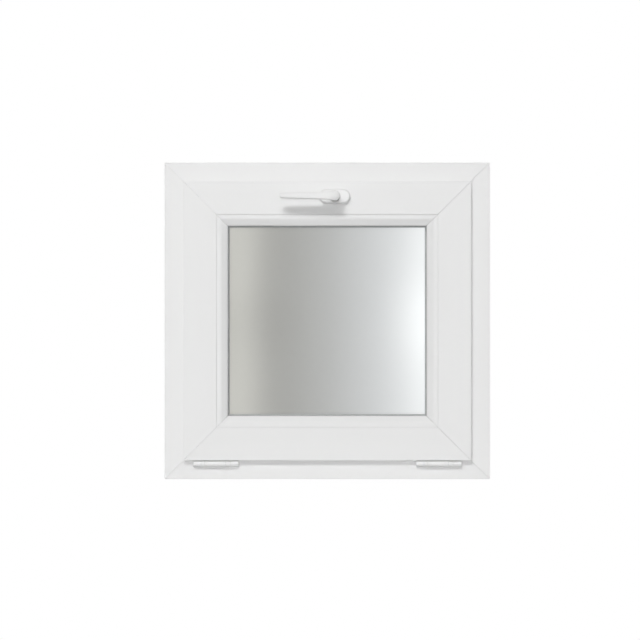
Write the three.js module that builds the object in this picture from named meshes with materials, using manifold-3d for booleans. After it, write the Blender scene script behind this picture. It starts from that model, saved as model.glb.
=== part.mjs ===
// A white PVC-U window: a fixed frame and a sash that is hinged along the bottom and tilts into the room.
// Millimetres. +X is right seen from the room, +Y is out of the building, +Z is up.
// The origin is the middle of the frame's underside, half way through the frame's depth.
// Profiles are drawn in (h, y), where h is the distance in from the frame's outer edge.
import * as THREE from 'three';
import { mergeVertices } from 'three/addons/utils/BufferGeometryUtils.js';
import Module from 'manifold-3d';

const wasm = await Module();
wasm.setup();

// ---------- Driving dimensions ----------
const WIDTH = 600;
const HEIGHT = 584;
const FRAME_DEPTH = 70;
const FIT = 0.3; // gap between pieces that touch

const REBATE_H = 42.5; // frame's outer edge to its rebate floor
const STOP_RISE = 20; // how far the frame's stop stands above the rebate floor
const STOP_THICK = 11;
const OVERLAP = 7.5; // sash lip over the frame's room face
const AIR_GAP = 12; // rebate floor to the sash body, where the hardware runs
const SEAL_GAP = 3; // sash to stop, filled by the stop gasket
const LIP_GAP = 3.5; // sash lip to frame, filled by the overlap gasket
const LIP_THICK = 10.5;
const SASH_FACE = 61; // flat room face of the sash, lip edge to bead
const LEG_THICK = 18; // glazing leg, outer side of the sash
const LEG_RISE = 21; // glazing leg above the glazing rebate floor
const WALL = 2.6; // outer walls of the profiles
const WEB = 1.5; // inner walls of the profiles
const MITRE_GAP = 0.3;

const PANE = 4;
const CAVITY = 16;
const EDGE_CLEARANCE = 5.5; // glazing rebate floor to the edge of the glass
const GLASS_SEAL = 3; // space for the gasket on each face of the glass
const BEAD_FACE = 7.5; // flat beside the sash
const BEAD_SLOPE = 0.44; // fall towards the glass, per millimetre
const BLOCK_LENGTH = 100; // setting blocks under the glass
const BLOCK_X = 130;

const STEEL = 1.5; // thickness of the reinforcing channels
const STEEL_SETBACK = 5; // channel end short of the mitre

const HINGE_INSET = 52.4; // frame's outer edge to the hinge end
const BARREL_R = 5.9;
const PIN_R = 3;
const PIN_BORE_R = 3.3;
const CAP_LENGTH = 15.1;
const FRAME_KNUCKLE_LEFT = 6;
const FRAME_KNUCKLE_RIGHT = 8.6;
const SASH_KNUCKLE = 38;
const KNUCKLE_GAP = 0.5;
const LEAF = 2.5; // thickness of the hinge leaves

const HANDLE_X = 13.6;
const BACKSET = 8.5; // sash edge to the spindle's axis
const LEVER_LENGTH = 100.4;
const NECK_R = 9.5;
const ARM_OUT = 35; // sash face to the back of the lever's arm
const ARM_THICK = 14;
const ARM_HEIGHT_ROOT = 13.2;
const ARM_HEIGHT_TIP = 9.2;
const SCREW_OFFSET = 21.5; // spindle's axis to each screw
const SCREW_R = 2.5;
const ROSETTE_MARGIN = 7; // screw's axis to the end of the rosette
const ROSETTE_HEIGHT = 28;
const ROSETTE_DEPTH = 10;
const ROSETTE_WALL = 1.6;
const SPINDLE = 7; // square
const GEAR_MODULE = 0.9;
const GEAR_TEETH = 16;
const GEAR_WIDTH = 7;
const PRESSURE_ANGLE = THREE.MathUtils.degToRad(25);
const BACKLASH = 0.1; // taken off each tooth's thickness
const GEAR_ROOM = 1.3; // gearbox cavity beyond the gear's pitch circle
const GEARBOX_WALL = 1.3;
const GEARBOX_MARGIN = 6.5; // screw's axis to the end of the gearbox
const GEARBOX_DEPTH = 12.6;
const ROD_WIDTH = 10;
const ROD_THICK = 2.2;
const ROD_MARGIN = 45; // sash edge to the end of the drive rod
const CAM_MARGIN = 95; // sash edge to each locking cam
const CAM_R = 4.5;
const STUD_R = 3.2;
const FACEPLATE_WIDTH = 16;
const FACEPLATE_THICK = 2;
const FACEPLATE_END = 14; // faceplate beyond the drive rod
const KEEP_PLATE = 1.2;
const KEEP_LENGTH = 36;
const KEEP_LIP = 1.2; // how far the keep's lip hangs down
const TILT_ROOM = 0.6; // cam to keep lip, taken up as the sash swings

const STAY_Z = 170; // height of the stay's pivot
const STAY_LENGTH = 190;
const STAY_WIDTH = 14;
const STAY_PIVOT_R = 4;
const STAY_PIN_R = 3;
const STAY_SLOT_HALF = 3.6;
const STAY_TRAVEL = 15.3; // how far the pin slides down its track
const STAY_PLATE = 16; // width of the bracket and the track
const BRACKET_LENGTH = 50;

const DRAIN_X = 150;
const DRAIN_CAP_LENGTH = 40;
const DRAIN_CAP_DEEP = 5.5;

// ---------- Lines of the cross-section ----------
const LIP_H = REBATE_H - OVERLAP;
const SASH_H = REBATE_H + AIR_GAP;
const BEAD_H = LIP_H + SASH_FACE;
const FLOOR_H = BEAD_H - 0.5;
const SIGHT_H = FLOOR_H + LEG_RISE;
const GLASS_H = FLOOR_H + EDGE_CLEARANCE;

const Y_ROOM = -FRAME_DEPTH / 2;
const Y_OUT = FRAME_DEPTH / 2;
const Y_STOP = Y_OUT - STOP_THICK;
const Y_SASH_OUT = Y_STOP - SEAL_GAP;
const Y_LIP = Y_ROOM - LIP_GAP;
const Y_SASH_ROOM = Y_LIP - LIP_THICK;
const Y_LEG = Y_SASH_OUT - LEG_THICK;
const Y_GLASS_OUT = Y_LEG - GLASS_SEAL;
const Y_GLASS_ROOM = Y_GLASS_OUT - 2 * PANE - CAVITY;
const Y_BEAD_BACK = Y_GLASS_ROOM - GLASS_SEAL - 0.5;
const Y_BEAD_ROOM = Y_SASH_ROOM + 1.5;
const Y_GROOVE = Y_LIP + 13; // centre line of the hardware groove
const GROOVE_HALF = 6;
const GROOVE_DEEP = 3;

const Y_HINGE = Y_ROOM - 0.4 - BARREL_R;
const Z_HINGE = LIP_H - 0.5 - BARREL_R;
const HANDLE_Z = HEIGHT - SASH_H - BACKSET;
const GEAR_R = (GEAR_MODULE * GEAR_TEETH) / 2;
const GEARBOX_REACH = GEAR_R + GEAR_ROOM + GEARBOX_WALL; // spindle's axis to the gearbox's inner side
const ROD_TRAVEL = (GEAR_R * Math.PI) / 2;
const GEARBOX_HALF = SCREW_OFFSET + GEARBOX_MARGIN;
const ROSETTE_LENGTH = 2 * (SCREW_OFFSET + ROSETTE_MARGIN);

// ---------- Materials ----------
const standard = (color, roughness, metalness) =>
  new THREE.MeshStandardMaterial({ color, roughness, metalness });
const pvcWhite = standard(0xeaeaea, 0.35, 0);
const rubberGrey = standard(0x6f7072, 0.8, 0);
const glassClear = standard(0xd5dcdc, 0.05, 0);
const glassSatin = standard(0xc4c6c6, 0.5, 0);
const spacerAluminium = standard(0xb9bcbe, 0.35, 0.9);
const sealantBlack = standard(0x232323, 0.7, 0);
const galvanised = standard(0xa9adb0, 0.5, 0.8);
const zincPlated = standard(0xbfc3c6, 0.3, 0.9);
const enamelWhite = standard(0xebebeb, 0.3, 0);
const capWhite = standard(0xececec, 0.4, 0);
const blockPlastic = standard(0x3f6fa8, 0.6, 0);

// ---------- Shapes ----------
// A closed outline through corners [h, y] or [h, y, radius]; a radius rounds that corner.
function outline(corners) {
  const path = new THREE.Shape();
  corners.forEach(([x, y, radius = 0], i) => {
    const corner = new THREE.Vector2(x, y);
    const towards = ([nx, ny]) => new THREE.Vector2(nx, ny).sub(corner).setLength(radius).add(corner);
    const start = radius ? towards(corners.at(i - 1)) : corner;
    const end = radius ? towards(corners[(i + 1) % corners.length]) : corner;
    if (i === 0) path.moveTo(start.x, start.y);
    else path.lineTo(start.x, start.y);
    if (radius) path.quadraticCurveTo(x, y, end.x, end.y);
  });
  path.closePath();
  return path;
}

const rectangle = ([h0, h1], [y0, y1]) => [[h0, y0], [h1, y0], [h1, y1], [h0, y1]];

function stadium(length, height) {
  const reach = (length - height) / 2;
  const path = new THREE.Shape();
  path.absarc(reach, 0, height / 2, -Math.PI / 2, Math.PI / 2);
  path.absarc(-reach, 0, height / 2, Math.PI / 2, (3 * Math.PI) / 2);
  path.closePath();
  return path;
}

const extruded = (shape, depth, curveSegments = 3) =>
  new THREE.ExtrudeGeometry(shape, { depth, bevelEnabled: false, curveSegments });

// A shape drawn in (x, z) and extruded from y0 to y1.
function extrudedAlongY(shape, [y0, y1], curveSegments = 8) {
  return extruded(shape, y1 - y0, curveSegments).rotateX(Math.PI / 2).translate(0, y1, 0);
}

// A shape drawn in (y, z) and extruded from x0 to x1.
function extrudedAlongX(shape, [x0, x1], curveSegments = 8) {
  const turn = new THREE.Matrix4().makeBasis(
    new THREE.Vector3(0, 1, 0), new THREE.Vector3(0, 0, 1), new THREE.Vector3(1, 0, 0));
  return extruded(shape, x1 - x0, curveSegments).applyMatrix4(turn).translate(x0, 0, 0);
}

function block([x0, x1], [y0, y1], [z0, z1]) {
  return new THREE.BoxGeometry(x1 - x0, y1 - y0, z1 - z0)
    .translate((x0 + x1) / 2, (y0 + y1) / 2, (z0 + z1) / 2);
}

const AXIS_TURN = {
  x: (geometry) => geometry.rotateZ(-Math.PI / 2),
  y: (geometry) => geometry,
  z: (geometry) => geometry.rotateX(Math.PI / 2),
};

function cylinder(axis, radius, [from, to], sides = 24) {
  const upright = new THREE.CylinderGeometry(radius, radius, to - from, sides);
  return AXIS_TURN[axis](upright.translate(0, (from + to) / 2, 0));
}

// A turned piece: points are [radius, distance along the axis], closed on the axis.
function turned(axis, points, sides = 24) {
  const profile = points.map(([radius, along]) => new THREE.Vector2(radius, along));
  return AXIS_TURN[axis](new THREE.LatheGeometry(profile, sides));
}

function solidOf(geometry) {
  const bare = geometry.clone();
  bare.deleteAttribute('normal');
  bare.deleteAttribute('uv');
  const merged = mergeVertices(bare, 1e-4);
  return new wasm.Manifold(new wasm.Mesh({
    numProp: 3,
    vertProperties: new Float32Array(merged.attributes.position.array),
    triVerts: new Uint32Array(merged.index.array),
  }));
}

function geometryOf(solid) {
  const { vertProperties, triVerts } = solid.getMesh();
  return new THREE.BufferGeometry()
    .setAttribute('position', new THREE.BufferAttribute(vertProperties, 3))
    .setIndex(new THREE.BufferAttribute(triVerts, 1));
}

const join = (...pieces) => geometryOf(pieces.map(solidOf).reduce((whole, piece) => whole.add(piece)));
const cut = (body, ...tools) =>
  geometryOf(tools.map(solidOf).reduce((left, tool) => left.subtract(tool), solidOf(body)));
const common = (a, b) => geometryOf(solidOf(a).intersect(solidOf(b)));

function piece(name, geometry, material) {
  const mesh = new THREE.Mesh(geometry, material);
  mesh.name = name;
  return mesh;
}

function groupAt([x, y, z], ...children) {
  const group = new THREE.Group().add(...children);
  group.position.set(x, y, z);
  return group;
}

// ---------- Bars along the four sides ----------
// Each bar is drawn as (h, y, s), where s runs along its side from one corner of the frame.
const SIDES = {
  bottom: { corner: [WIDTH / 2, 0, 0], inward: [0, 0, 1], along: [-1, 0, 0], span: WIDTH },
  left: { corner: [-WIDTH / 2, 0, 0], inward: [1, 0, 0], along: [0, 0, 1], span: HEIGHT },
  top: { corner: [-WIDTH / 2, 0, HEIGHT], inward: [0, 0, -1], along: [1, 0, 0], span: WIDTH },
  right: { corner: [WIDTH / 2, 0, HEIGHT], inward: [-1, 0, 0], along: [0, 0, -1], span: HEIGHT },
};

function onSide(side, mesh) {
  const { corner, inward, along } = SIDES[side];
  const basis = [inward, [0, 1, 0], along].map((axis) => new THREE.Vector3(...axis));
  mesh.applyMatrix4(new THREE.Matrix4().makeBasis(...basis).setPosition(...corner));
  return mesh;
}

// The profile over the whole side, both ends cut at 45 degrees, with its chambers running right through.
function mitredBar({ outside, chambers }, span) {
  const mitred = (shape, overrun) => {
    const bar = extruded(shape, 1);
    const point = bar.attributes.position;
    for (let i = 0; i < point.count; i++) {
      const end = point.getX(i) + MITRE_GAP / 2 - overrun;
      point.setZ(i, point.getZ(i) < 0.5 ? end : span - end);
    }
    return bar;
  };
  return cut(mitred(outside, 0), ...chambers.map((corners) => mitred(outline(corners), 1)));
}

// A profile carried round all four sides without a joint.
function ring(corners) {
  const profile = corners.map(([h, y]) => new THREE.Vector2(h, y));
  if (THREE.ShapeUtils.area(profile) < 0) profile.reverse();
  const turns = [[-1, 0], [1, 0], [1, 1], [-1, 1]];
  const vertices = turns.flatMap(([sideX, top]) => profile.flatMap(({ x: h, y }) => [
    sideX * (WIDTH / 2 - h), y, top ? HEIGHT - h : h]));
  const count = profile.length;
  const index = turns.flatMap((_, turn) => profile.flatMap((__, i) => {
    const next = (i + 1) % count;
    const a = turn * count + i;
    const b = turn * count + next;
    const c = ((turn + 1) % 4) * count + next;
    const d = ((turn + 1) % 4) * count + i;
    return [a, c, b, a, d, c];
  }));
  return new THREE.BufferGeometry()
    .setAttribute('position', new THREE.Float32BufferAttribute(vertices, 3))
    .setIndex(index);
}

// ---------- Frame ----------
const STEEL_Y0 = Y_ROOM + 14;
const STEEL_Y1 = Y_STOP - 17;
const FRAME_STEEL_H1 = REBATE_H - 3.5;
const ANCHOR_DEEP = 3.5; // grooves in the outer face for fixing straps
const DRAIN_DEEP = 3; // channel in the rebate floor that gathers water
const STOP_GROOVE_H = REBATE_H + 13; // gasket groove in the stop

function frameProfile() {
  const anchors = [-1, 1].map((side) => side * (FRAME_DEPTH / 2 - 20));
  const notches = anchors.reverse().flatMap((y) => [
    [0, y + 5], [ANCHOR_DEEP, y + 5], [ANCHOR_DEEP, y - 5], [0, y - 5]]);
  const stopTop = REBATE_H + STOP_RISE;
  const outside = outline([
    [0, Y_ROOM, 0.8],
    [REBATE_H, Y_ROOM, 1.5],
    [REBATE_H, Y_STOP - 12],
    [REBATE_H - DRAIN_DEEP, Y_STOP - 10],
    [REBATE_H - DRAIN_DEEP, Y_STOP - 3],
    [REBATE_H, Y_STOP - 1],
    [REBATE_H, Y_STOP],
    [STOP_GROOVE_H, Y_STOP],
    [STOP_GROOVE_H, Y_STOP + 3],
    [STOP_GROOVE_H + 3, Y_STOP + 3],
    [STOP_GROOVE_H + 3, Y_STOP],
    [stopTop, Y_STOP, 0.6],
    [stopTop - 2.5, Y_OUT, 2],
    [0, Y_OUT, 0.8],
    ...notches,
  ]);
  const chambers = [
    rectangle([WALL, FRAME_STEEL_H1 + 0.7], [Y_ROOM + WALL, STEEL_Y0 - WEB]),
    rectangle([ANCHOR_DEEP + WALL, FRAME_STEEL_H1], [STEEL_Y0, STEEL_Y1]),
    rectangle([ANCHOR_DEEP + WALL, REBATE_H - DRAIN_DEEP - WALL], [STEEL_Y1 + WEB, Y_STOP - 4]),
    rectangle([WALL, REBATE_H - DRAIN_DEEP - WALL], [Y_STOP - 4 + WEB, Y_OUT - WALL]),
    rectangle([REBATE_H - 1.5, STOP_GROOVE_H - WALL], [Y_STOP + WALL, Y_OUT - WALL]),
  ];
  return { outside, chambers };
}

// Water leaves the rebate through slots in its channel, then through slots in the outer face.
const DRAIN_SLOT_H = [9, 14];
function drainSlots() {
  return [-1, 1].flatMap((side) => {
    const s = WIDTH / 2 - side * DRAIN_X;
    return [
      block([REBATE_H - DRAIN_DEEP - 2 * WALL, REBATE_H], [Y_STOP - 9, Y_STOP - 4.5], [s - 13, s + 13]),
      block(DRAIN_SLOT_H, [Y_STOP - 6, Y_OUT + 1], [s - 12, s + 12]),
    ];
  });
}

function frameBar(side) {
  const bar = mitredBar(frameProfile(), SIDES[side].span);
  const names = {
    bottom: 'frame_sill', left: 'frame_jamb_left', top: 'frame_head', right: 'frame_jamb_right',
  };
  return onSide(side, piece(names[side], side === 'bottom' ? cut(bar, ...drainSlots()) : bar, pvcWhite));
}

// A U-shaped steel channel that lies in a chamber, open towards the frame's outer edge.
function channel([h0, h1], [y0, y1], span) {
  const section = outline([
    [h0, y0], [h1, y0, 1], [h1, y1, 1], [h0, y1],
    [h0, y1 - STEEL], [h1 - STEEL, y1 - STEEL], [h1 - STEEL, y0 + STEEL], [h0, y0 + STEEL],
  ]);
  const setback = h1 + STEEL_SETBACK;
  return extruded(section, span - 2 * setback).translate(0, 0, setback);
}

function frameSteel(side) {
  const across = [ANCHOR_DEEP + WALL + FIT, FRAME_STEEL_H1 - FIT];
  const steel = channel(across, [STEEL_Y0 + FIT, STEEL_Y1 - FIT], SIDES[side].span);
  return onSide(side, piece(`frame_steel_${side}`, steel, galvanised));
}

function drainCap(name, x) {
  const wall = 1.5;
  const half = DRAIN_CAP_LENGTH / 2;
  const back = Y_OUT + FIT;
  const [low, high] = DRAIN_SLOT_H;
  const shell = cut(
    block([-half, half], [back, back + DRAIN_CAP_DEEP], [low - 6, high + 3]),
    block([wall - half, half - wall], [back - 1, back + DRAIN_CAP_DEEP - wall], [low - 7, high + 3 - wall]));
  const tab = ([x0, x1]) =>
    block([x0, x1], [Y_OUT - 4, back + DRAIN_CAP_DEEP - wall / 2], [low + FIT, high - FIT]);
  const cap = piece(name, join(shell, tab([-10, -8]), tab([8, 10])), capWhite);
  cap.position.x = x;
  return cap;
}

// ---------- Sash ----------
const BEAD_GROOVE_DEEP = 4; // groove that the bead's foot snaps into
const beadGrooveY = [Y_SASH_ROOM + 3.2, Y_SASH_ROOM + 8.2];
const LIP_GROOVE_H = LIP_H + 2.8; // gasket groove in the back of the lip
const LEG_GROOVE_H = FLOOR_H + 15; // gasket groove in the glazing leg
const SASH_STEEL_H = [SASH_H + BACKSET + GEARBOX_REACH + 1.7, FLOOR_H - WALL];

function sashProfile() {
  const inner = Y_LIP + 2;
  const legInner = Y_LEG + 0.5;
  const outside = outline([
    [LIP_H, Y_SASH_ROOM, 2.2],
    [BEAD_H, Y_SASH_ROOM, 0.6],
    [BEAD_H, beadGrooveY[0]],
    [BEAD_H - BEAD_GROOVE_DEEP - 0.5, beadGrooveY[0]],
    [BEAD_H - BEAD_GROOVE_DEEP - 0.5, beadGrooveY[1]],
    [FLOOR_H, beadGrooveY[1]],
    [FLOOR_H, Y_LEG],
    [LEG_GROOVE_H, Y_LEG],
    [LEG_GROOVE_H, Y_LEG + 3],
    [LEG_GROOVE_H + 3, Y_LEG + 3],
    [LEG_GROOVE_H + 3, Y_LEG],
    [SIGHT_H, Y_LEG, 0.6],
    [SIGHT_H - 4, Y_SASH_OUT, 2.5],
    [SASH_H, Y_SASH_OUT, 0.8],
    [SASH_H, Y_GROOVE + GROOVE_HALF],
    [SASH_H + GROOVE_DEEP, Y_GROOVE + GROOVE_HALF],
    [SASH_H + GROOVE_DEEP, Y_GROOVE - GROOVE_HALF],
    [SASH_H, Y_GROOVE - GROOVE_HALF],
    [SASH_H, Y_LIP],
    [LIP_GROOVE_H + 3, Y_LIP],
    [LIP_GROOVE_H + 3, Y_LIP - 2.5],
    [LIP_GROOVE_H, Y_LIP - 2.5],
    [LIP_GROOVE_H, Y_LIP],
    [LIP_H, Y_LIP, 0.8],
  ]);
  const chambers = [
    rectangle([LIP_H + 3.5, SASH_H - 2], [Y_SASH_ROOM + WALL, Y_LIP - 4.5]),
    rectangle([SASH_H + 1.5, FLOOR_H - 7], [Y_SASH_ROOM + WALL, Y_LIP + 0.5]),
    rectangle([SASH_H + 5, SASH_STEEL_H[0] - WEB], [inner, Y_GROOVE + 11.5]),
    rectangle([SASH_H + WALL, SASH_STEEL_H[0] - WEB], [Y_GROOVE + 13, legInner]),
    rectangle(SASH_STEEL_H, [inner, legInner]),
    rectangle([SASH_H + WALL, FLOOR_H - WALL], [legInner + WEB, Y_SASH_OUT - WALL]),
    rectangle([FLOOR_H, LEG_GROOVE_H - 2], [Y_LEG + 7, Y_SASH_OUT - WALL]),
  ];
  return { outside, chambers };
}

// The top rail is pierced for the handle and pocketed for the gearbox.
function handleCuts() {
  const h = HEIGHT - HANDLE_Z;
  const s = WIDTH / 2 + HANDLE_X;
  const through = [Y_SASH_ROOM - 1, Y_GROOVE - GROOVE_HALF];
  const half = GEARBOX_HALF + FIT;
  const bore = (radius, offset, sides) => cylinder('y', radius, through, sides).translate(h, 0, s + offset);
  return [
    block(
      [SASH_H + 1, h + GEARBOX_REACH + 0.5],
      [Y_GROOVE - GEARBOX_DEPTH / 2 - FIT, Y_GROOVE + GEARBOX_DEPTH / 2 + FIT],
      [s - half, s + half]),
    bore(7.5, 0, 32),
    bore(SCREW_R + FIT, -SCREW_OFFSET, 16),
    bore(SCREW_R + FIT, SCREW_OFFSET, 16),
  ];
}

function sashBar(side) {
  const bar = mitredBar(sashProfile(), SIDES[side].span);
  const names = {
    bottom: 'sash_rail_bottom', left: 'sash_stile_left', top: 'sash_rail_top', right: 'sash_stile_right',
  };
  return onSide(side, piece(names[side], side === 'top' ? cut(bar, ...handleCuts()) : bar, pvcWhite));
}

function sashSteel(side) {
  const across = [SASH_STEEL_H[0] + FIT, SASH_STEEL_H[1] - FIT];
  const steel = channel(across, [Y_LIP + 2 + FIT, Y_LEG + 0.5 - FIT], SIDES[side].span);
  return onSide(side, piece(`sash_steel_${side}`, steel, galvanised));
}

// ---------- Glazing ----------
function beadProfile() {
  const face = BEAD_H + FIT;
  const foot = FLOOR_H + FIT;
  const flatEnd = face + BEAD_FACE;
  const footEnd = BEAD_H - BEAD_GROOVE_DEEP + 0.1;
  const outside = new THREE.Shape();
  outside.moveTo(face, Y_BEAD_ROOM);
  outside.lineTo(flatEnd - 3, Y_BEAD_ROOM);
  outside.quadraticCurveTo(flatEnd, Y_BEAD_ROOM, flatEnd + 3, Y_BEAD_ROOM + 3 * BEAD_SLOPE);
  outside.lineTo(SIGHT_H, Y_BEAD_ROOM + (SIGHT_H - flatEnd) * BEAD_SLOPE);
  outside.lineTo(SIGHT_H, Y_BEAD_BACK - 0.8);
  outside.lineTo(SIGHT_H - 0.8, Y_BEAD_BACK);
  outside.lineTo(foot, Y_BEAD_BACK);
  outside.lineTo(foot, beadGrooveY[1] - FIT);
  outside.lineTo(footEnd, beadGrooveY[1] - FIT);
  outside.lineTo(footEnd, beadGrooveY[0] + FIT);
  outside.lineTo(face, beadGrooveY[0] + FIT);
  outside.closePath();
  const chamber = [
    [face + 2.4, Y_BEAD_ROOM + 2.5],
    [flatEnd - 0.8, Y_BEAD_ROOM + 2.5],
    [SIGHT_H - 5, (Y_BEAD_ROOM + Y_BEAD_BACK) / 2],
    [SIGHT_H - 5, Y_BEAD_BACK - 2.5],
    [face + 2.4, Y_BEAD_BACK - 2.5],
  ];
  return { outside, chambers: [chamber] };
}

const glazingBead = (side) =>
  onSide(side, piece(`glazing_bead_${side}`, mitredBar(beadProfile(), SIDES[side].span), pvcWhite));

// A foot in its groove and a bulb that presses on the part it seals.
function gasketRing([footH0, footH1], [footY0, footY1], [bulbH0, bulbH1], [bulbY0, bulbY1]) {
  const foot = ring(rectangle([footH0, footH1], [footY0, footY1]));
  const slope = (bulbH1 - bulbH0) / 4;
  const bulb = ring(footY1 > bulbY1
    ? [[bulbH0 + slope, bulbY0], [bulbH1 - slope, bulbY0], [bulbH1, bulbY1], [bulbH0, bulbY1]]
    : [[bulbH0, bulbY0], [bulbH1, bulbY0], [bulbH1 - slope, bulbY1], [bulbH0 + slope, bulbY1]]);
  return join(foot, bulb);
}

function frameStopGasket() {
  const foot = [STOP_GROOVE_H + 0.2, STOP_GROOVE_H + 2.8];
  const bulb = [STOP_GROOVE_H - 0.8, STOP_GROOVE_H + 4.8];
  return piece('frame_stop_gasket', gasketRing(
    foot, [Y_STOP - FIT, Y_STOP + 2.8], bulb, [Y_SASH_OUT + FIT, Y_STOP - 0.1]), rubberGrey);
}

// The overlap gasket's bulb is cut away where the hinge leaves pass through.
function sashOverlapGasket() {
  const foot = [LIP_GROOVE_H + 0.2, LIP_GROOVE_H + 2.8];
  const bulb = [LIP_GROOVE_H - 0.8, LIP_GROOVE_H + 3.4];
  const whole = gasketRing(foot, [Y_LIP - 2.3, Y_LIP + FIT], bulb, [Y_LIP + 0.1, Y_ROOM - FIT]);
  const notches = HINGE_ENDS.map((x) =>
    block([x - 2, x + HINGE_LENGTH + 2], [Y_LIP + 0.05, Y_ROOM + 1], [LIP_H - 1, REBATE_H + 1]));
  return piece('sash_overlap_gasket', cut(whole, ...notches), rubberGrey);
}

function glazingGasketOuter() {
  const foot = [LEG_GROOVE_H + 0.2, LEG_GROOVE_H + 2.8];
  const bulb = [LEG_GROOVE_H - 0.5, SIGHT_H + 2];
  return piece('glazing_gasket_outer', gasketRing(
    foot, [Y_LEG - FIT, Y_LEG + 2.8], bulb, [Y_GLASS_OUT + 0.2, Y_LEG - 0.1]), rubberGrey);
}

function glazingGasketInner() {
  const y0 = Y_BEAD_BACK + FIT;
  const y1 = Y_GLASS_ROOM - 0.2;
  return piece('glazing_gasket_inner', ring([
    [SIGHT_H - 4.5, y0], [SIGHT_H + 1.5, y0], [SIGHT_H + 3.5, (y0 + y1) / 2], [SIGHT_H + 3.5, y1],
    [SIGHT_H - 4.5, y1]]), rubberGrey);
}

function glassUnit() {
  const half = WIDTH / 2 - GLASS_H;
  const tall = [GLASS_H, HEIGHT - GLASS_H];
  const innerBack = Y_GLASS_ROOM + PANE;
  const outerBack = Y_GLASS_OUT - PANE;
  const between = [innerBack + FIT, outerBack - FIT];
  return [
    piece('glass_pane_outer', block([-half, half], [outerBack, Y_GLASS_OUT], tall), glassClear),
    piece('glass_pane_inner', block([-half, half], [Y_GLASS_ROOM, innerBack], tall), glassSatin),
    piece('glass_spacer_bar', ring(rectangle([GLASS_H + 5.5, GLASS_H + 12], between)), spacerAluminium),
    piece('glass_edge_seal', ring(rectangle([GLASS_H + 0.2, GLASS_H + 5.2], between)), sealantBlack),
  ];
}

function settingBlock(name, x) {
  const under = [FLOOR_H + FIT, GLASS_H - FIT];
  const rest = piece(name, block(
    [-BLOCK_LENGTH / 2, BLOCK_LENGTH / 2], [Y_GLASS_ROOM, Y_GLASS_OUT], under), blockPlastic);
  rest.position.x = x;
  return rest;
}

// ---------- Hinges ----------
// Drawn from the hinge's left end, about its axis; u is the distance along the axis.
const U_KNUCKLE_LEFT = CAP_LENGTH + FIT;
const U_SASH_KNUCKLE = U_KNUCKLE_LEFT + FRAME_KNUCKLE_LEFT + KNUCKLE_GAP;
const U_KNUCKLE_RIGHT = U_SASH_KNUCKLE + SASH_KNUCKLE + KNUCKLE_GAP;
const U_CAP_RIGHT = U_KNUCKLE_RIGHT + FRAME_KNUCKLE_RIGHT + FIT;
const HINGE_LENGTH = U_CAP_RIGHT + CAP_LENGTH;
const HINGE_ENDS = [-WIDTH / 2 + HINGE_INSET, WIDTH / 2 - HINGE_INSET - HINGE_LENGTH];
const PIN_SETBACK = 5; // pin end to hinge end

// The leaves climb in the gap between lip and frame, then turn out over the rebate.
const leafY = [BARREL_R - LEAF, BARREL_R];
const leafBackY = Y_GROOVE + 11.5 - Y_HINGE;
const frameLeafZ = [REBATE_H + FIT - Z_HINGE, REBATE_H + FIT + LEAF - Z_HINGE];
const sashLeafZ = [SASH_H - FIT - LEAF - Z_HINGE, SASH_H - FIT - Z_HINGE];

function hingeFrameLeaf() {
  const left = [U_KNUCKLE_LEFT, U_KNUCKLE_LEFT + FRAME_KNUCKLE_LEFT];
  const right = [U_KNUCKLE_RIGHT, U_KNUCKLE_RIGHT + FRAME_KNUCKLE_RIGHT];
  const aboveCaps = [BARREL_R - 0.4, frameLeafZ[1]];
  const window = [left[1], right[0]];
  const whole = join(
    cylinder('x', BARREL_R, left), cylinder('x', BARREL_R, right),
    block(left, leafY, [0, frameLeafZ[1]]), block(right, leafY, [0, frameLeafZ[1]]),
    block([0, left[1]], leafY, aboveCaps), block([right[0], HINGE_LENGTH], leafY, aboveCaps),
    block([0, HINGE_LENGTH], [leafY[0], leafBackY], frameLeafZ));
  return cut(whole,
    cylinder('x', PIN_BORE_R, [0, HINGE_LENGTH]),
    block(window, [leafY[0] - 1, BARREL_R + 0.6], [frameLeafZ[0] - 1, frameLeafZ[1] + 1]));
}

function hingeSashLeaf() {
  const middle = [U_SASH_KNUCKLE, U_SASH_KNUCKLE + SASH_KNUCKLE];
  return cut(
    join(
      cylinder('x', BARREL_R, middle), block(middle, leafY, [0, sashLeafZ[1]]),
      block([0, HINGE_LENGTH], [leafY[0], leafBackY - 2], sashLeafZ)),
    cylinder('x', PIN_BORE_R, [0, HINGE_LENGTH]));
}

// Caps cover the pin's ends: the left one is domed, the right one nearly square.
function hingeCap(domeR, domeLength) {
  return turned('x', [
    [0, 0], [domeR, 0], [BARREL_R - 0.6, domeLength * 0.45], [BARREL_R, domeLength], [BARREL_R, CAP_LENGTH],
    [PIN_BORE_R, CAP_LENGTH], [PIN_BORE_R, PIN_SETBACK - FIT], [0, PIN_SETBACK - FIT]]);
}

function hinge(side, x) {
  const rightCap = piece(`${side}_hinge_right_cap`, hingeCap(BARREL_R - 0.7, 0.8), capWhite);
  rightCap.rotation.z = Math.PI;
  rightCap.position.x = HINGE_LENGTH;
  return groupAt([x, Y_HINGE, Z_HINGE],
    piece(`${side}_hinge_frame_leaf`, hingeFrameLeaf(), enamelWhite),
    piece(`${side}_hinge_sash_leaf`, hingeSashLeaf(), enamelWhite),
    piece(`${side}_hinge_pin`, cylinder('x', PIN_R, [PIN_SETBACK, HINGE_LENGTH - PIN_SETBACK]), zincPlated),
    piece(`${side}_hinge_left_cap`, hingeCap(BARREL_R - 2.4, 3), capWhite),
    rightCap);
}

// ---------- Handle ----------
// Drawn about the spindle's axis; y is measured from the sash's room face, and the room side is negative.
const armY = [-ARM_OUT - ARM_THICK, -ARM_OUT];
const baseY = [-FIT - 5, -FIT];

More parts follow.
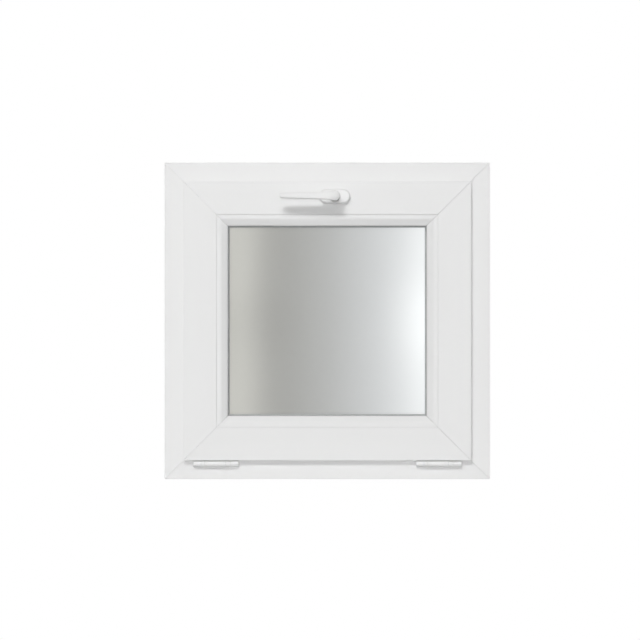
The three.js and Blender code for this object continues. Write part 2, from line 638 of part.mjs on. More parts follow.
function leverArm() {
  const rootHalf = ARM_HEIGHT_ROOT / 2;
  const tipHalf = ARM_HEIGHT_TIP / 2;
  const front = outline([
    [NECK_R - 2, NECK_R, 3], [-4, NECK_R, 3], [-16, rootHalf, 5], [-LEVER_LENGTH, tipHalf, 3],
    [-LEVER_LENGTH, -tipHalf, 3], [-16, -rootHalf, 5], [-4, -NECK_R, 3], [NECK_R - 2, -NECK_R, 3],
    [NECK_R, 0, 6],
  ]);
  const plan = outline([
    [NECK_R, armY[1] + 6], [NECK_R, armY[0] + 3, 6], [-4, armY[0], 4], [-LEVER_LENGTH + 6, armY[0] + 2, 4],
    [-LEVER_LENGTH, armY[0] + 5, 2], [-LEVER_LENGTH, armY[1] - 3, 2], [-LEVER_LENGTH + 8, armY[1] - 1.5, 4],
    [-16, armY[1], 6], [-NECK_R, armY[1] + 6, 2],
  ]);
  return common(
    extrudedAlongY(front, [armY[0] - 1, armY[1] + 7], 4),
    extruded(plan, 2 * NECK_R + 2, 4).translate(0, 0, -NECK_R - 1));
}

function handleLever() {
  const neck = turned('y', [
    [0, armY[0] + 4], [NECK_R - 2, armY[0] + 4], [NECK_R - 0.6, armY[1]], [NECK_R - 1.4, -ROSETTE_DEPTH - 8],
    [NECK_R, -ROSETTE_DEPTH - 1], [NECK_R, baseY[0] - FIT], [0, baseY[0] - FIT]], 32);
  const socketHalf = SPINDLE / 2 + 0.25;
  const socket = block([-socketHalf, socketHalf], [-ARM_OUT + 4, 0], [-socketHalf, socketHalf]);
  return cut(join(neck, leverArm()), socket);
}

function rosetteBase() {
  const plate = extrudedAlongY(stadium(ROSETTE_LENGTH - 4, ROSETTE_HEIGHT - 4), baseY);
  const boss = cylinder('y', 7.2, [baseY[1] - 1, WALL - FIT], 32);
  const hole = (radius, x) => cylinder('y', radius, [baseY[0] - 1, WALL + 1], 16).translate(x, 0, 0);
  return cut(join(plate, boss),
    hole(SPINDLE * 0.75, 0), hole(SCREW_R + FIT, -SCREW_OFFSET), hole(SCREW_R + FIT, SCREW_OFFSET));
}

function rosetteCap() {
  const front = -FIT - ROSETTE_DEPTH;
  const inset = 2 * ROSETTE_WALL;
  const outer = join(
    extrudedAlongY(stadium(ROSETTE_LENGTH, ROSETTE_HEIGHT), [front + 1.5, -FIT]),
    extrudedAlongY(stadium(ROSETTE_LENGTH - 2.4, ROSETTE_HEIGHT - 2.4), [front, front + 2]));
  return cut(outer,
    extrudedAlongY(stadium(ROSETTE_LENGTH - inset, ROSETTE_HEIGHT - inset), [front + ROSETTE_WALL, 1]),
    cylinder('y', NECK_R + 0.5, [front - 1, front + 3], 32));
}

const handleScrew = () => turned('y', [
  [0, baseY[0] - FIT - 2.4], [3, baseY[0] - FIT - 2.4], [4.2, baseY[0] - FIT - 1], [4.2, baseY[0] - FIT],
  [SCREW_R, baseY[0] - FIT], [SCREW_R, Y_GROOVE + 4 - Y_SASH_ROOM], [0, Y_GROOVE + 4 - Y_SASH_ROOM]], 16);

// One flank point of a tooth: the involute's half angle at a radius, seen from the tooth's middle.
function toothHalfAngle(radius) {
  const base = GEAR_R * Math.cos(PRESSURE_ANGLE);
  const involute = (angle) => Math.tan(angle) - angle;
  const atPitch = (Math.PI * GEAR_MODULE - 2 * BACKLASH) / 4 / GEAR_R;
  return atPitch + involute(PRESSURE_ANGLE) - involute(Math.acos(Math.min(1, base / radius)));
}

const HUB_R = GEAR_R - 1.15 * GEAR_MODULE;

function driveGear() {
  const tip = GEAR_R + 0.9 * GEAR_MODULE;
  const root = GEAR_R - 1.25 * GEAR_MODULE;
  const radii = [root, GEAR_R * Math.cos(PRESSURE_ANGLE), GEAR_R, (GEAR_R + tip) / 2, tip];
  const rising = radii.map((r) => [r, -toothHalfAngle(r)]);
  const falling = radii.map((r) => [r, toothHalfAngle(r)]).reverse();
  const rim = new THREE.Shape(Array.from({ length: GEAR_TEETH }, (_, i) => i).flatMap((i) =>
    [...rising, ...falling].map(([r, angle]) => {
      const turn = (2 * Math.PI * i) / GEAR_TEETH + angle + Math.PI / 2;
      return new THREE.Vector2(r * Math.cos(turn), r * Math.sin(turn));
    })));
  const half = SPINDLE / 2 + 0.25;
  return cut(
    join(
      extrudedAlongY(rim, [-GEAR_WIDTH / 2, GEAR_WIDTH / 2]),
      cylinder('y', HUB_R, [-GROOVE_HALF, GROOVE_HALF], 32)),
    block([-half, half], [-10, 10], [-half, half]));
}

function handleParts() {
  const spindleEnd = Y_GROOVE + GEARBOX_DEPTH / 2 - Y_SASH_ROOM;
  const gear = piece('drive_gear', driveGear(), zincPlated);
  gear.position.y = Y_GROOVE - Y_SASH_ROOM;
  const screws = ['left', 'right'].map((side, i) => {
    const screw = piece(`handle_screw_${side}`, handleScrew(), zincPlated);
    screw.position.x = i ? SCREW_OFFSET : -SCREW_OFFSET;
    return screw;
  });
  const across = [-SPINDLE / 2, SPINDLE / 2];
  const spindle = block(across, [-ARM_OUT + 4 + FIT, spindleEnd], across);
  return groupAt([HANDLE_X, Y_SASH_ROOM, HANDLE_Z],
    piece('handle_lever', handleLever(), enamelWhite),
    piece('handle_rosette_base', rosetteBase(), capWhite),
    piece('handle_rosette_cap', rosetteCap(), capWhite),
    piece('handle_spindle', spindle, zincPlated),
    gear,
    ...screws);
}

// ---------- Locking gear in the top rail ----------
const RACK_Z = HANDLE_Z + GEAR_R; // pitch line
const ROD_Z = RACK_Z + 1.25 * GEAR_MODULE;
const rodZ = [ROD_Z, ROD_Z + ROD_THICK];
const faceplateZ = [rodZ[1] + FIT, rodZ[1] + FIT + FACEPLATE_THICK];
const KEEP_Z = HEIGHT - REBATE_H - FIT - KEEP_PLATE;
const camZ = [faceplateZ[1] + 0.8, KEEP_Z - KEEP_LIP - TILT_ROOM];
const SASH_HALF = WIDTH / 2 - SASH_H;
const CAM_X = SASH_HALF - CAM_MARGIN;
const ROD_HALF = SASH_HALF - ROD_MARGIN;

function gearboxHousing() {
  const body = block(
    [HANDLE_X - GEARBOX_HALF, HANDLE_X + GEARBOX_HALF],
    [Y_GROOVE - GEARBOX_DEPTH / 2, Y_GROOVE + GEARBOX_DEPTH / 2],
    [HANDLE_Z - GEARBOX_REACH, RACK_Z - GEAR_MODULE - 0.5]);
  const bore = (radius, x, halfDepth, sides) =>
    cylinder('y', radius, [-halfDepth, halfDepth], sides).translate(HANDLE_X + x, Y_GROOVE, HANDLE_Z);
  return cut(body,
    bore(GEAR_R + GEAR_ROOM, 0, GEAR_WIDTH / 2 + FIT, 32),
    bore(HUB_R + FIT, 0, GEARBOX_DEPTH, 32),
    bore(SCREW_R + FIT, -SCREW_OFFSET, GEARBOX_DEPTH, 16),
    bore(SCREW_R + FIT, SCREW_OFFSET, GEARBOX_DEPTH, 16));
}

// The rack hangs under the rod, over the gear, with a space where the gear has its upright tooth.
function rackTeeth() {
  const pitch = Math.PI * GEAR_MODULE;
  const half = (y) => pitch / 4 - BACKLASH / 2 + (y - RACK_Z) * Math.tan(PRESSURE_ANGLE);
  const first = -2;
  const count = Math.ceil(ROD_TRAVEL / pitch) + 4;
  const top = rodZ[0] + 0.1;
  const low = RACK_Z - 0.9 * GEAR_MODULE;
  return Array.from({ length: count }, (_, i) => {
    const x = HANDLE_X + (first + i + 0.5) * pitch;
    const section = outline([
      [x - half(low), low], [x + half(low), low], [x + half(top), top], [x - half(top), top]]);
    return extrudedAlongY(section, [Y_GROOVE - GEAR_WIDTH / 2, Y_GROOVE + GEAR_WIDTH / 2]);
  });
}

function driveRod() {
  const bar = block([-ROD_HALF, ROD_HALF], [Y_GROOVE - ROD_WIDTH / 2, Y_GROOVE + ROD_WIDTH / 2], rodZ);
  const cams = [-CAM_X, CAM_X].map((x) => turned('z', [
    [0, rodZ[1] - 0.5], [STUD_R, rodZ[1] - 0.5], [STUD_R, camZ[0]], [CAM_R, camZ[0]], [CAM_R, camZ[1] - 0.6],
    [CAM_R - 0.6, camZ[1]], [0, camZ[1]]]).translate(x, Y_GROOVE, 0));
  return join(bar, ...rackTeeth(), ...cams);
}

// A plate with turned-down edges that holds the rod in the groove, slotted for the cams.
function driveFaceplate() {
  const half = ROD_HALF + FACEPLATE_END;
  const width = [Y_GROOVE - FACEPLATE_WIDTH / 2, Y_GROOVE + FACEPLATE_WIDTH / 2];
  const inside = [Y_GROOVE - ROD_WIDTH / 2 - 0.6, Y_GROOVE + ROD_WIDTH / 2 + 0.6];
  const slots = [-CAM_X, CAM_X].map((x) => block(
    [x - ROD_TRAVEL - STUD_R - 0.6, x + STUD_R + 0.6], [Y_GROOVE - STUD_R - 0.4, Y_GROOVE + STUD_R + 0.4],
    [faceplateZ[0] - 1, faceplateZ[1] + 1]));
  return cut(
    block([-half, half], width, [HEIGHT - SASH_H + FIT, faceplateZ[1]]),
    block([-half - 1, half + 1], inside, [HEIGHT - SASH_H, faceplateZ[0]]),
    ...slots);
}

// A keep on the frame's head: a plate with a lip on the room side that the cam slides behind.
function keep(name, x) {
  const room = Y_GROOVE - CAM_R - 3;
  const half = KEEP_LENGTH / 2;
  const plate = block([-half, half], [room, Y_GROOVE + 11.5], [KEEP_Z, KEEP_Z + KEEP_PLATE]);
  const lip = block([-half, half / 2], [room, room + 2.5], [KEEP_Z - KEEP_LIP, KEEP_Z + 0.5]);
  const made = piece(name, join(plate, lip), zincPlated);
  made.position.x = x;
  return made;
}

// ---------- Stays ----------
// Drawn for the right side and mirrored for the left. x is measured from the frame's outer edge inwards.
const Y_STAY = Y_GROOVE;
const trackX = [SASH_HALF + FIT, SASH_HALF + 3.5];
const armX = [SASH_HALF + 4.5, SASH_HALF + 7];
const bracketX = [WIDTH / 2 - REBATE_H - 2.5, WIDTH / 2 - REBATE_H - FIT];
const Z_STAY_PIN = STAY_Z + STAY_LENGTH;
const plateY = [Y_STAY - STAY_PLATE / 2, Y_STAY + STAY_PLATE / 2];

function stayArm() {
  const half = STAY_WIDTH / 2;
  const path = new THREE.Shape();
  path.absarc(Y_STAY, STAY_Z, half, Math.PI, 2 * Math.PI);
  path.absarc(Y_STAY, Z_STAY_PIN, half, 0, Math.PI);
  path.closePath();
  return cut(
    join(
      extrudedAlongX(path, armX),
      cylinder('x', STAY_PIN_R, [trackX[0] + 0.4, armX[0] + 1]).translate(0, Y_STAY, Z_STAY_PIN)),
    cylinder('x', STAY_PIVOT_R + FIT, [armX[0] - 1, armX[1] + 1]).translate(0, Y_STAY, STAY_Z));
}

function stayBracket() {
  return join(
    block(bracketX, plateY, [STAY_Z - BRACKET_LENGTH / 2, STAY_Z + BRACKET_LENGTH / 2]),
    cylinder('x', STAY_PIVOT_R, [armX[0] - 1, bracketX[0] + 0.5]).translate(0, Y_STAY, STAY_Z),
    cylinder('x', STAY_PIVOT_R + 2, [armX[0] - 1.6, armX[0] - 0.4]).translate(0, Y_STAY, STAY_Z));
}

function stayTrack() {
  const low = Z_STAY_PIN - STAY_TRAVEL - STAY_PIN_R - 1;
  const high = Z_STAY_PIN + STAY_PIN_R + 1;
  return cut(
    block(trackX, plateY, [low - 12, high + 12]),
    block([trackX[0] - 1, trackX[1] + 1], [Y_STAY - STAY_SLOT_HALF, Y_STAY + STAY_SLOT_HALF], [low, high]));
}

function stay(side) {
  const parts = [['arm', stayArm()], ['bracket', stayBracket()], ['track', stayTrack()]];
  const meshes = parts.map(([part, geometry]) => piece(`${side}_stay_${part}`, geometry, zincPlated));
  const group = new THREE.Group().add(...meshes);
  if (side === 'left') group.scale.x = -1;
  return group;
}

// ---------- Assembly ----------
const casement = new THREE.Group();
for (const side of Object.keys(SIDES)) {
  casement.add(frameBar(side), frameSteel(side), sashBar(side), sashSteel(side), glazingBead(side));
}
casement.add(
  frameStopGasket(), sashOverlapGasket(), glazingGasketOuter(), glazingGasketInner(),
  ...glassUnit(),
  settingBlock('setting_block_left', -BLOCK_X), settingBlock('setting_block_right', BLOCK_X),
  hinge('left', HINGE_ENDS[0]), hinge('right', HINGE_ENDS[1]),
  handleParts(),
  piece('gearbox_housing', gearboxHousing(), zincPlated),
  piece('drive_faceplate', driveFaceplate(), zincPlated),
  piece('drive_rod', driveRod(), zincPlated),
  keep('left_keep', -CAM_X), keep('right_keep', CAM_X),
  stay('left'), stay('right'),
  drainCap('left_drain_cap', -DRAIN_X), drainCap('right_drain_cap', DRAIN_X));

export default casement;
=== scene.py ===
# %% [markdown]
# # A white PVC-U tilt window
# The window is a welded frame with a welded sash inside it. The sash is hinged along its lower edge and
# tilts into the room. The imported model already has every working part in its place, so this lesson starts
# from it and gives each part the surface that the real one has. New pieces are drawn in millimetres,
# because that is how window sections are drawn, and become metres when their mesh is made.

# %% Load the frame
import math

import bmesh
import bpy
import numpy as np
from mathutils.geometry import tessellate_polygon
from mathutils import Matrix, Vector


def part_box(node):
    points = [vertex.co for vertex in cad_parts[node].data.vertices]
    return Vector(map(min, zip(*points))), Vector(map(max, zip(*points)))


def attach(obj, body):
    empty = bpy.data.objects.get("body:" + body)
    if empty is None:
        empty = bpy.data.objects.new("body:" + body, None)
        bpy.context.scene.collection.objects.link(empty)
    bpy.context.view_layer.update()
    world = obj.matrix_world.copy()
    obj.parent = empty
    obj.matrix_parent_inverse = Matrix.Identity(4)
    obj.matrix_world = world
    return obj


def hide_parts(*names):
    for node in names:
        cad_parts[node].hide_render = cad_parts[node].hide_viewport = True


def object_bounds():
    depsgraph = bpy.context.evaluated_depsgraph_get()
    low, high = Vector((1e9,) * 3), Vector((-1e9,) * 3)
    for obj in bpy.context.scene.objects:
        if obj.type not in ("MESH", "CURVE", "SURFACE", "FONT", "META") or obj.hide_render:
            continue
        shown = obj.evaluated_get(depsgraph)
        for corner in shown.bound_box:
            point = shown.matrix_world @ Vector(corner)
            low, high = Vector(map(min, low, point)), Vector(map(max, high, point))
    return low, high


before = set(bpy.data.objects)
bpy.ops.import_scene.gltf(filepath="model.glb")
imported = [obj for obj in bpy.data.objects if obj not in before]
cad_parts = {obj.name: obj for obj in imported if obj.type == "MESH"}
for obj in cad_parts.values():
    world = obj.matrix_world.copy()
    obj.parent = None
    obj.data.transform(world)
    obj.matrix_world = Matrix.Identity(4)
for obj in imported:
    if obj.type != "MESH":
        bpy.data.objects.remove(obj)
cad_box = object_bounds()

MM = 1000.0  # millimetres in a metre

# %% [markdown]
# ## The lines of the window
# A window section is fixed by a few lines: how far in from the outer edge the sash starts, where the glass
# is seen, and how deep each face lies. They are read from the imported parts, so the new surfaces stay on
# them. h is the distance in from the frame's outer edge, and y is the depth, with the room on the negative
# side.

# %% Read the main lines from the frame


def span(node, axis):
    """The lowest and highest place of a part along one axis, in millimetres."""
    low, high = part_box(node)
    return low["xyz".index(axis)] * MM, high["xyz".index(axis)] * MM


WIDTH = (cad_box[1].x - cad_box[0].x) * MM
HEIGHT = (cad_box[1].z - cad_box[0].z) * MM
Y_ROOM, Y_OUT = span("frame_sill", "y")
Y_SASH_ROOM, Y_SASH_OUT = span("sash_rail_bottom", "y")
LIP_H, SIGHT_H = span("sash_rail_bottom", "z")
STOP_H = span("frame_sill", "z")[1]
Y_GLASS_ROOM = span("glass_pane_inner", "y")[0]
Y_GLASS_OUT = span("glass_pane_outer", "y")[1]
Y_BEAD_ROOM = span("glazing_bead_bottom", "y")[0]

OVERLAP = 7.5  # of the sash's lip over the frame
HARDWARE_AIR = 12  # between the rebate and the sash
SASH_FACE = 61  # from the lip's edge to the beads
STOP_THICK = 11
LIP_GAP = 3.5  # between the frame's face and the lip
LEG_THICK = 18
WEDGE = 3.5  # gasket between the beads and the glass
WALL = 2.6  # outer walls of a bar
WEB = 1.5  # walls between its chambers

REBATE_H = LIP_H + OVERLAP
SASH_H = REBATE_H + HARDWARE_AIR
BEAD_H = LIP_H + SASH_FACE
FLOOR_H = BEAD_H - 0.5  # floor of the glazing rebate
Y_STOP = Y_OUT - STOP_THICK
Y_LIP = Y_ROOM - LIP_GAP
Y_LEG = Y_SASH_OUT - LEG_THICK
Y_GROOVE = Y_LIP + 13  # middle of the hardware groove
Y_BEAD_BACK = Y_GLASS_ROOM - WEDGE
print("window", round(WIDTH), "x", round(HEIGHT), "mm, glass seen from", round(SIGHT_H, 1), "mm in")

# %% [markdown]
# ## Finishes
# Almost everything here is white, so the finishes differ by gloss and by fine relief: extruded PVC has
# faint lines along its length, powder coat has a soft orange peel, and moulded caps have an etched grain. A
# finish could be one colour and one gloss, but it is the relief that tells them apart when light runs over
# them. Every pattern is placed by Object coordinates, which are metres here, so its size is its real size.

# %% Helpers for finishes


def add_node(tree, kind, inputs=(), **settings):
    """Adds a shader node. Inputs are (socket, value) pairs, and a value may be another node's output."""
    made = tree.nodes.new(kind)
    for name, value in settings.items():
        setattr(made, name, value)
    for name, value in inputs:
        if isinstance(value, bpy.types.NodeSocket):
            tree.links.new(value, made.inputs[name])
        else:
            made.inputs[name].default_value = value
    return made


def new_finish(name, colour, **sockets):
    """A material with one Principled shader. Sockets are its constant values, by name."""
    material = bpy.data.materials.new(name)
    material.use_nodes = True
    shader = material.node_tree.nodes["Principled BSDF"]
    shader.inputs["Base Color"].default_value = (*colour, 1)
    for socket, value in sockets.items():
        shader.inputs[socket.replace("_", " ")].default_value = value
    return material


def noise(material, stretch, detail=2.0, rough=0.5):
    """A noise pattern with that many lumps to the metre along x, y and z."""
    tree = material.node_tree
    where = add_node(tree, "ShaderNodeTexCoord").outputs["Object"]
    placed = add_node(tree, "ShaderNodeMapping", [("Vector", where), ("Scale", stretch)])
    made = add_node(tree, "ShaderNodeTexNoise", [
        ("Vector", placed.outputs["Vector"]), ("Scale", 1.0), ("Detail", detail), ("Roughness", rough)])
    return made.outputs["Fac"]


def cells(material, scale, feature="F1"):
    """Irregular cells, that many to the metre: a random colour for each, and the distance inside it."""
    tree = material.node_tree
    where = add_node(tree, "ShaderNodeTexCoord").outputs["Object"]
    return add_node(tree, "ShaderNodeTexVoronoi", [("Vector", where), ("Scale", scale)], feature=feature)


def spread(material, pattern, low, high):
    """A pattern from 0 to 1 becomes a value from low to high."""
    made = add_node(material.node_tree, "ShaderNodeMapRange", [
        ("Value", pattern), ("From Min", 0.3), ("From Max", 0.7), ("To Min", low), ("To Max", high)])
    return made.outputs["Result"]


def vary_roughness(material, pattern, low, high):
    """The gloss follows a pattern."""
    tree = material.node_tree
    tree.links.new(spread(material, pattern, low, high), tree.nodes["Principled BSDF"].inputs["Roughness"])


def vary_colour(material, pattern, dark, light):
    """The colour follows a pattern, from one shade to another."""
    tree = material.node_tree
    ramp = add_node(tree, "ShaderNodeMix", [
        ("Factor", spread(material, pattern, 0, 1)), ("A", (*dark, 1)), ("B", (*light, 1))], data_type="RGBA")
    tree.links.new(ramp.outputs["Result"], tree.nodes["Principled BSDF"].inputs["Base Color"])


def emboss(material, pattern, depth, previous=None):
    """The surface rises with a pattern by depth, in metres. previous is a relief that lies under it."""
    tree = material.node_tree
    inputs = [("Height", pattern), ("Strength", 1.0), ("Distance", depth)]
    if previous:
        inputs.append(("Normal", previous))
    bump = add_node(tree, "ShaderNodeBump", inputs)
    tree.links.new(bump.outputs["Normal"], tree.nodes["Principled BSDF"].inputs["Normal"])
    return bump.outputs["Normal"]


def shades(value, step, tint=(1, 1, 1)):
    """Two shades of one colour, a step apart."""
    return tuple((value - step) * t for t in tint), tuple(min(1, value + step) * t for t in tint)


# %% [markdown]
# ### Extruded PVC-U
# The bars come out of a die, which leaves very shallow lines along them, and the skin between is satin with
# a fine grain. Noise stretched along the bar makes the lines, so rails and stiles need one finish each.

# %% PVC
PVC_WHITE = 0.83


def pvc_finish(name, along):
    """White PVC-U with its die lines along one axis."""
    material = new_finish(name, (PVC_WHITE,) * 3, Roughness=0.48, IOR=1.53, Specular_IOR_Level=0.35)
    die = tuple(4.0 if axis == along else 900.0 for axis in "xyz")
    cloud = tuple(3.0 if axis == along else 14.0 for axis in "xyz")
    vary_colour(material, noise(material, cloud, 3.0), *shades(PVC_WHITE, 0.006, (1.0, 1.0, 0.998)))
    vary_roughness(material, noise(material, (260.0,) * 3, 3.0), 0.44, 0.54)
    lines = emboss(material, noise(material, die, 3.0), 0.0000012)
    emboss(material, noise(material, (2600.0,) * 3, 2.0), 0.0000015, lines)
    return material


pvc_rail = pvc_finish("pvc_rail", "x")
pvc_stile = pvc_finish("pvc_stile", "z")
print("PVC finishes:", pvc_rail.name, pvc_stile.name)

# %% [markdown]
# ### Painted and moulded white parts
# The lever and the hinge leaves are powder coated metal: the powder melts into a hard skin with a soft
# orange peel. The rosette and the small caps are moulded plastic with an even, fine etched grain. Both
# could share one bump, but the peel is wide and shallow and the grain is narrow, and side light shows the
# difference.

# %% Enamel and moulded plastic


def enamel_finish(name, value, peel):
    """Powder coat: a wide, shallow orange peel under a clear coat."""
    material = new_finish(name, (value,) * 3, Roughness=0.42, IOR=1.5, Specular_IOR_Level=0.35,
                          Coat_Weight=0.1, Coat_Roughness=0.2)
    vary_colour(material, noise(material, (30.0,) * 3, 2.0), *shades(value, 0.006, (1.0, 1.0, 0.995)))
    vary_roughness(material, noise(material, (700.0,) * 3), 0.38, 0.46)
    wide = emboss(material, noise(material, (peel,) * 3, 1.0), 0.000009)
    emboss(material, noise(material, (peel * 4,) * 3, 2.0), 0.0000015, wide)
    return material


def moulded_finish(name, colour, grain):
    """Moulded plastic with an etched grain."""
    material = new_finish(name, colour, Roughness=0.42, IOR=1.5)
    dark = tuple(c * 0.975 for c in colour)
    light = tuple(min(1, c * 1.01) for c in colour)
    vary_colour(material, noise(material, (60.0,) * 3, 3.0), dark, light)
    vary_roughness(material, noise(material, (900.0,) * 3), 0.36, 0.5)
    emboss(material, cells(material, grain).outputs["Distance"], 0.000006)
    return material


handle_enamel = enamel_finish("handle_enamel", 0.8, 420.0)
hinge_enamel = enamel_finish("hinge_enamel", 0.86, 520.0)
cap_white = moulded_finish("cap_white", (0.86, 0.86, 0.86), 2600.0)
block_plastic = moulded_finish("block_plastic", (0.05, 0.155, 0.39), 1500.0)
print("white metal and plastic finishes made")

# %% [markdown]
# ### Rubber, sealant and metals
# The gaskets are grey rubber with a dry, slightly dusty skin. Zinc plating is a bright, mottled metal,
# rolled galvanised steel has a spangle of flat crystals, and the spacer bar is aluminium rolled along its
# length. A spangle is a Voronoi pattern: each cell is one crystal, and each reflects a little differently.

# %% Rubber and metal finishes


def rubber_finish():
    """Grey gasket rubber: rough, with a fine grain and a little sheen."""
    material = new_finish("gasket_rubber", (0.48, 0.48, 0.48), Roughness=0.72, Sheen_Weight=0.12,
                          Sheen_Roughness=0.5, IOR=1.5)
    vary_colour(material, noise(material, (90.0,) * 3, 4.0), *shades(0.48, 0.03, (0.995, 1.0, 1.01)))
    vary_roughness(material, noise(material, (500.0,) * 3, 3.0), 0.62, 0.82)
    emboss(material, noise(material, (3200.0,) * 3, 3.0), 0.000008)
    return material


def sealant_finish():
    """Black edge sealant, combed flat with a knife."""
    material = new_finish("edge_sealant", (0.018, 0.018, 0.019), Roughness=0.6, IOR=1.45)
    vary_roughness(material, noise(material, (300.0,) * 3, 4.0), 0.45, 0.75)
    emboss(material, noise(material, (240.0, 900.0, 240.0), 4.0), 0.00006)
    return material


def zinc_finish():
    """Bright zinc plating with a faint bluish and yellowish mottle."""
    material = new_finish("zinc_plate", (0.66, 0.67, 0.69), Metallic=1.0, Roughness=0.3)
    vary_colour(material, noise(material, (120.0,) * 3, 4.0), (0.60, 0.615, 0.65), (0.74, 0.735, 0.71))
    vary_roughness(material, noise(material, (420.0,) * 3, 4.0), 0.22, 0.42)
    emboss(material, noise(material, (1500.0,) * 3, 3.0), 0.000006)
    return material


def galvanised_finish():
    """Hot-dip galvanised strip: each crystal of the spangle has its own grey and its own gloss."""
    material = new_finish("galvanised_steel", (0.5, 0.52, 0.54), Metallic=0.85, Roughness=0.45)
    spangle = cells(material, 160.0)
    vary_colour(material, spangle.outputs["Color"], (0.40, 0.415, 0.43), (0.60, 0.615, 0.63))
    vary_roughness(material, spangle.outputs["Color"], 0.34, 0.58)
    emboss(material, spangle.outputs["Distance"], 0.00002)
    return material


def aluminium_finish():
    """Rolled aluminium, its lines along the ring."""
    material = new_finish("spacer_aluminium", (0.72, 0.73, 0.74), Metallic=1.0, Roughness=0.32)
    vary_roughness(material, noise(material, (40.0, 2400.0, 40.0), 3.0), 0.24, 0.42)
    emboss(material, noise(material, (30.0, 2400.0, 30.0), 3.0), 0.000004)
    return material


gasket_rubber = rubber_finish()
edge_sealant = sealant_finish()
zinc_plate = zinc_finish()
galvanised = galvanised_finish()
spacer_aluminium = aluminium_finish()
print("rubber and metal finishes made")

# %% [markdown]
# ### Glass
# The inner pane is etched, so that it lets light through but no clear view, and the outer pane is clear
# float glass. Etching is a surface of tiny pits, which is what a rough transmitting shader stands for, and
# a fine relief breaks up its sheen at close range. Both panes are coated against reflections, which a low
# index of refraction stands for: the studio's front light would otherwise lie over the glass like fog.

# %% Glass finishes


def glass_finish(name, colour, low, high, pits):
    """Glass whose roughness wanders between low and high, with pits of that depth."""
    material = new_finish(name, colour, Roughness=high, Transmission_Weight=1.0, IOR=1.22)
    vary_roughness(material, noise(material, (220.0,) * 3, 3.0), low, high)
    if pits:
        emboss(material, noise(material, (5200.0,) * 3, 2.0), pits)
    return material


glass_satin = glass_finish("glass_satin", (0.95, 0.95, 0.945), 0.36, 0.40, 0.0000008)
glass_clear = glass_finish("glass_clear", (0.975, 0.99, 0.985), 0.0, 0.012, 0)
print("glass finishes made")

# %% [markdown]
# ## Surfaces
# Everything new is a closed line carried along something: a window bar is a section carried along its side,
# a gasket is a section carried round all four sides, and a turned cap is a section carried round an axis.
# Each is a grid of points with two parameters, so one function can make the faces of them all.

# %% Lines and grids


def outline(corners, steps=6, lead=0.05):
    """A closed line through corners (u, v) or (u, v, radius). A corner with a radius turns on an arc that
    touches both sides: the centre is on the bisector at radius / sin(half angle), and the points turn evenly
    from one touching point to the other. A short lead on each side keeps the flats flat in smooth shading."""
    parts = []
    for i, (u, v, *radius) in enumerate(corners):
        corner = np.array((u, v), float)
        if not radius:
            parts.append(corner[None])
            continue
        sides = [np.array(corners[j][:2]) - corner for j in (i - 1, (i + 1) % len(corners))]
        before, after = (side / np.linalg.norm(side) for side in sides)
        half = math.acos(np.clip(before @ after, -1, 1)) / 2
        reach = radius[0] / math.tan(half)
        centre = corner + (before + after) / np.linalg.norm(before + after) * radius[0] / math.sin(half)
        sweep = math.pi - 2 * half
        t = np.linspace(0, 1, steps + 1)[:, None]
        first, last = corner + before * reach - centre, corner + after * reach - centre
        arc = centre + (np.sin((1 - t) * sweep) * first + np.sin(t * sweep) * last) / math.sin(sweep)
        parts += [corner + before * (reach + lead), arc, corner + after * (reach + lead)]
    return np.vstack(parts)


def rectangle(u0, u1, v0, v1, radius=0.0):
    """A rectangle, with round corners if a radius is given."""
    round_it = (radius,) if radius else ()
    return outline([(u0, v0, *round_it), (u1, v0, *round_it), (u1, v1, *round_it), (u0, v1, *round_it)])


def area(loop):
    """Half the sum of the cross products of neighbours: positive when the line runs anticlockwise."""
    u, v = loop.T
    return 0.5 * np.sum(u * np.roll(v, -1) - v * np.roll(u, -1))


def wound(loop, positive=True):
    """The line, run the other way round where its area has the wrong sign."""
    return loop if (area(loop) > 0) == positive else loop[::-1]


def inset(loop, distance):
    """Each point moves square to the line between its neighbours, into the shape, all alike or each its
    own."""
    along = np.roll(loop, -1, 0) - np.roll(loop, 1, 0)
    inward = np.stack([-along[:, 1], along[:, 0]], 1) / np.linalg.norm(along, axis=1)[:, None]
    return loop + inward * np.reshape(distance, (-1, 1)) * np.sign(area(loop))


def grid_faces(rows, columns, start=0, wrap=False):
    """Four-sided faces of a grid whose rows are closed lines: point j of row i with j + 1 and with both of
    row i + 1. With wrap, the last row joins the first."""
    i = np.arange(rows if wrap else rows - 1)[:, None]
    j = np.arange(columns)[None, :]
    right, above = (j + 1) % columns, (i + 1) % rows
    corners = [i * columns + j, i * columns + right, above * columns + right, above * columns + j]
    return (np.stack(np.broadcast_arrays(*corners), -1).reshape(-1, 4) + start).tolist()


print("outline of a 10 mm square with 2 mm corners:", len(rectangle(0, 10, 0, 10, 2.0)), "points")

# %% [markdown]
# A mesh is only as good as its shell: closed, facing out, and with no doubled points. `make_piece` sees to
# that for each new piece, shades it smooth, and keeps an edge sharp where its two faces meet at more than
# 32 degrees.

# %% Pieces
SHARP = math.radians(32)
SAME_POINT = 2e-7  # metres
made_pieces = []


def settle(mesh):
    """Merges doubled points, turns the shell outwards by the sign of its volume, and sets the shading."""
    work = bmesh.new()
    work.from_mesh(mesh)
    bmesh.ops.remove_doubles(work, verts=work.verts, dist=SAME_POINT)
    bmesh.ops.dissolve_degenerate(work, edges=work.edges, dist=SAME_POINT / 2)
    if work.calc_volume(signed=True) < 0:
        bmesh.ops.reverse_faces(work, faces=work.faces)
    work.to_mesh(mesh)
    work.free()
    mesh.shade_smooth()
    mesh.set_sharp_from_angle(angle=SHARP)


def bare_object(name, points, faces):
    """Points in millimetres and their faces as an object in metres."""
    mesh = bpy.data.meshes.new(name)
    mesh.from_pydata((np.asarray(points, float) / MM).tolist(), [], faces)
    made = bpy.data.objects.new(name, mesh)
    bpy.context.scene.collection.objects.link(made)
    settle(mesh)
    return made


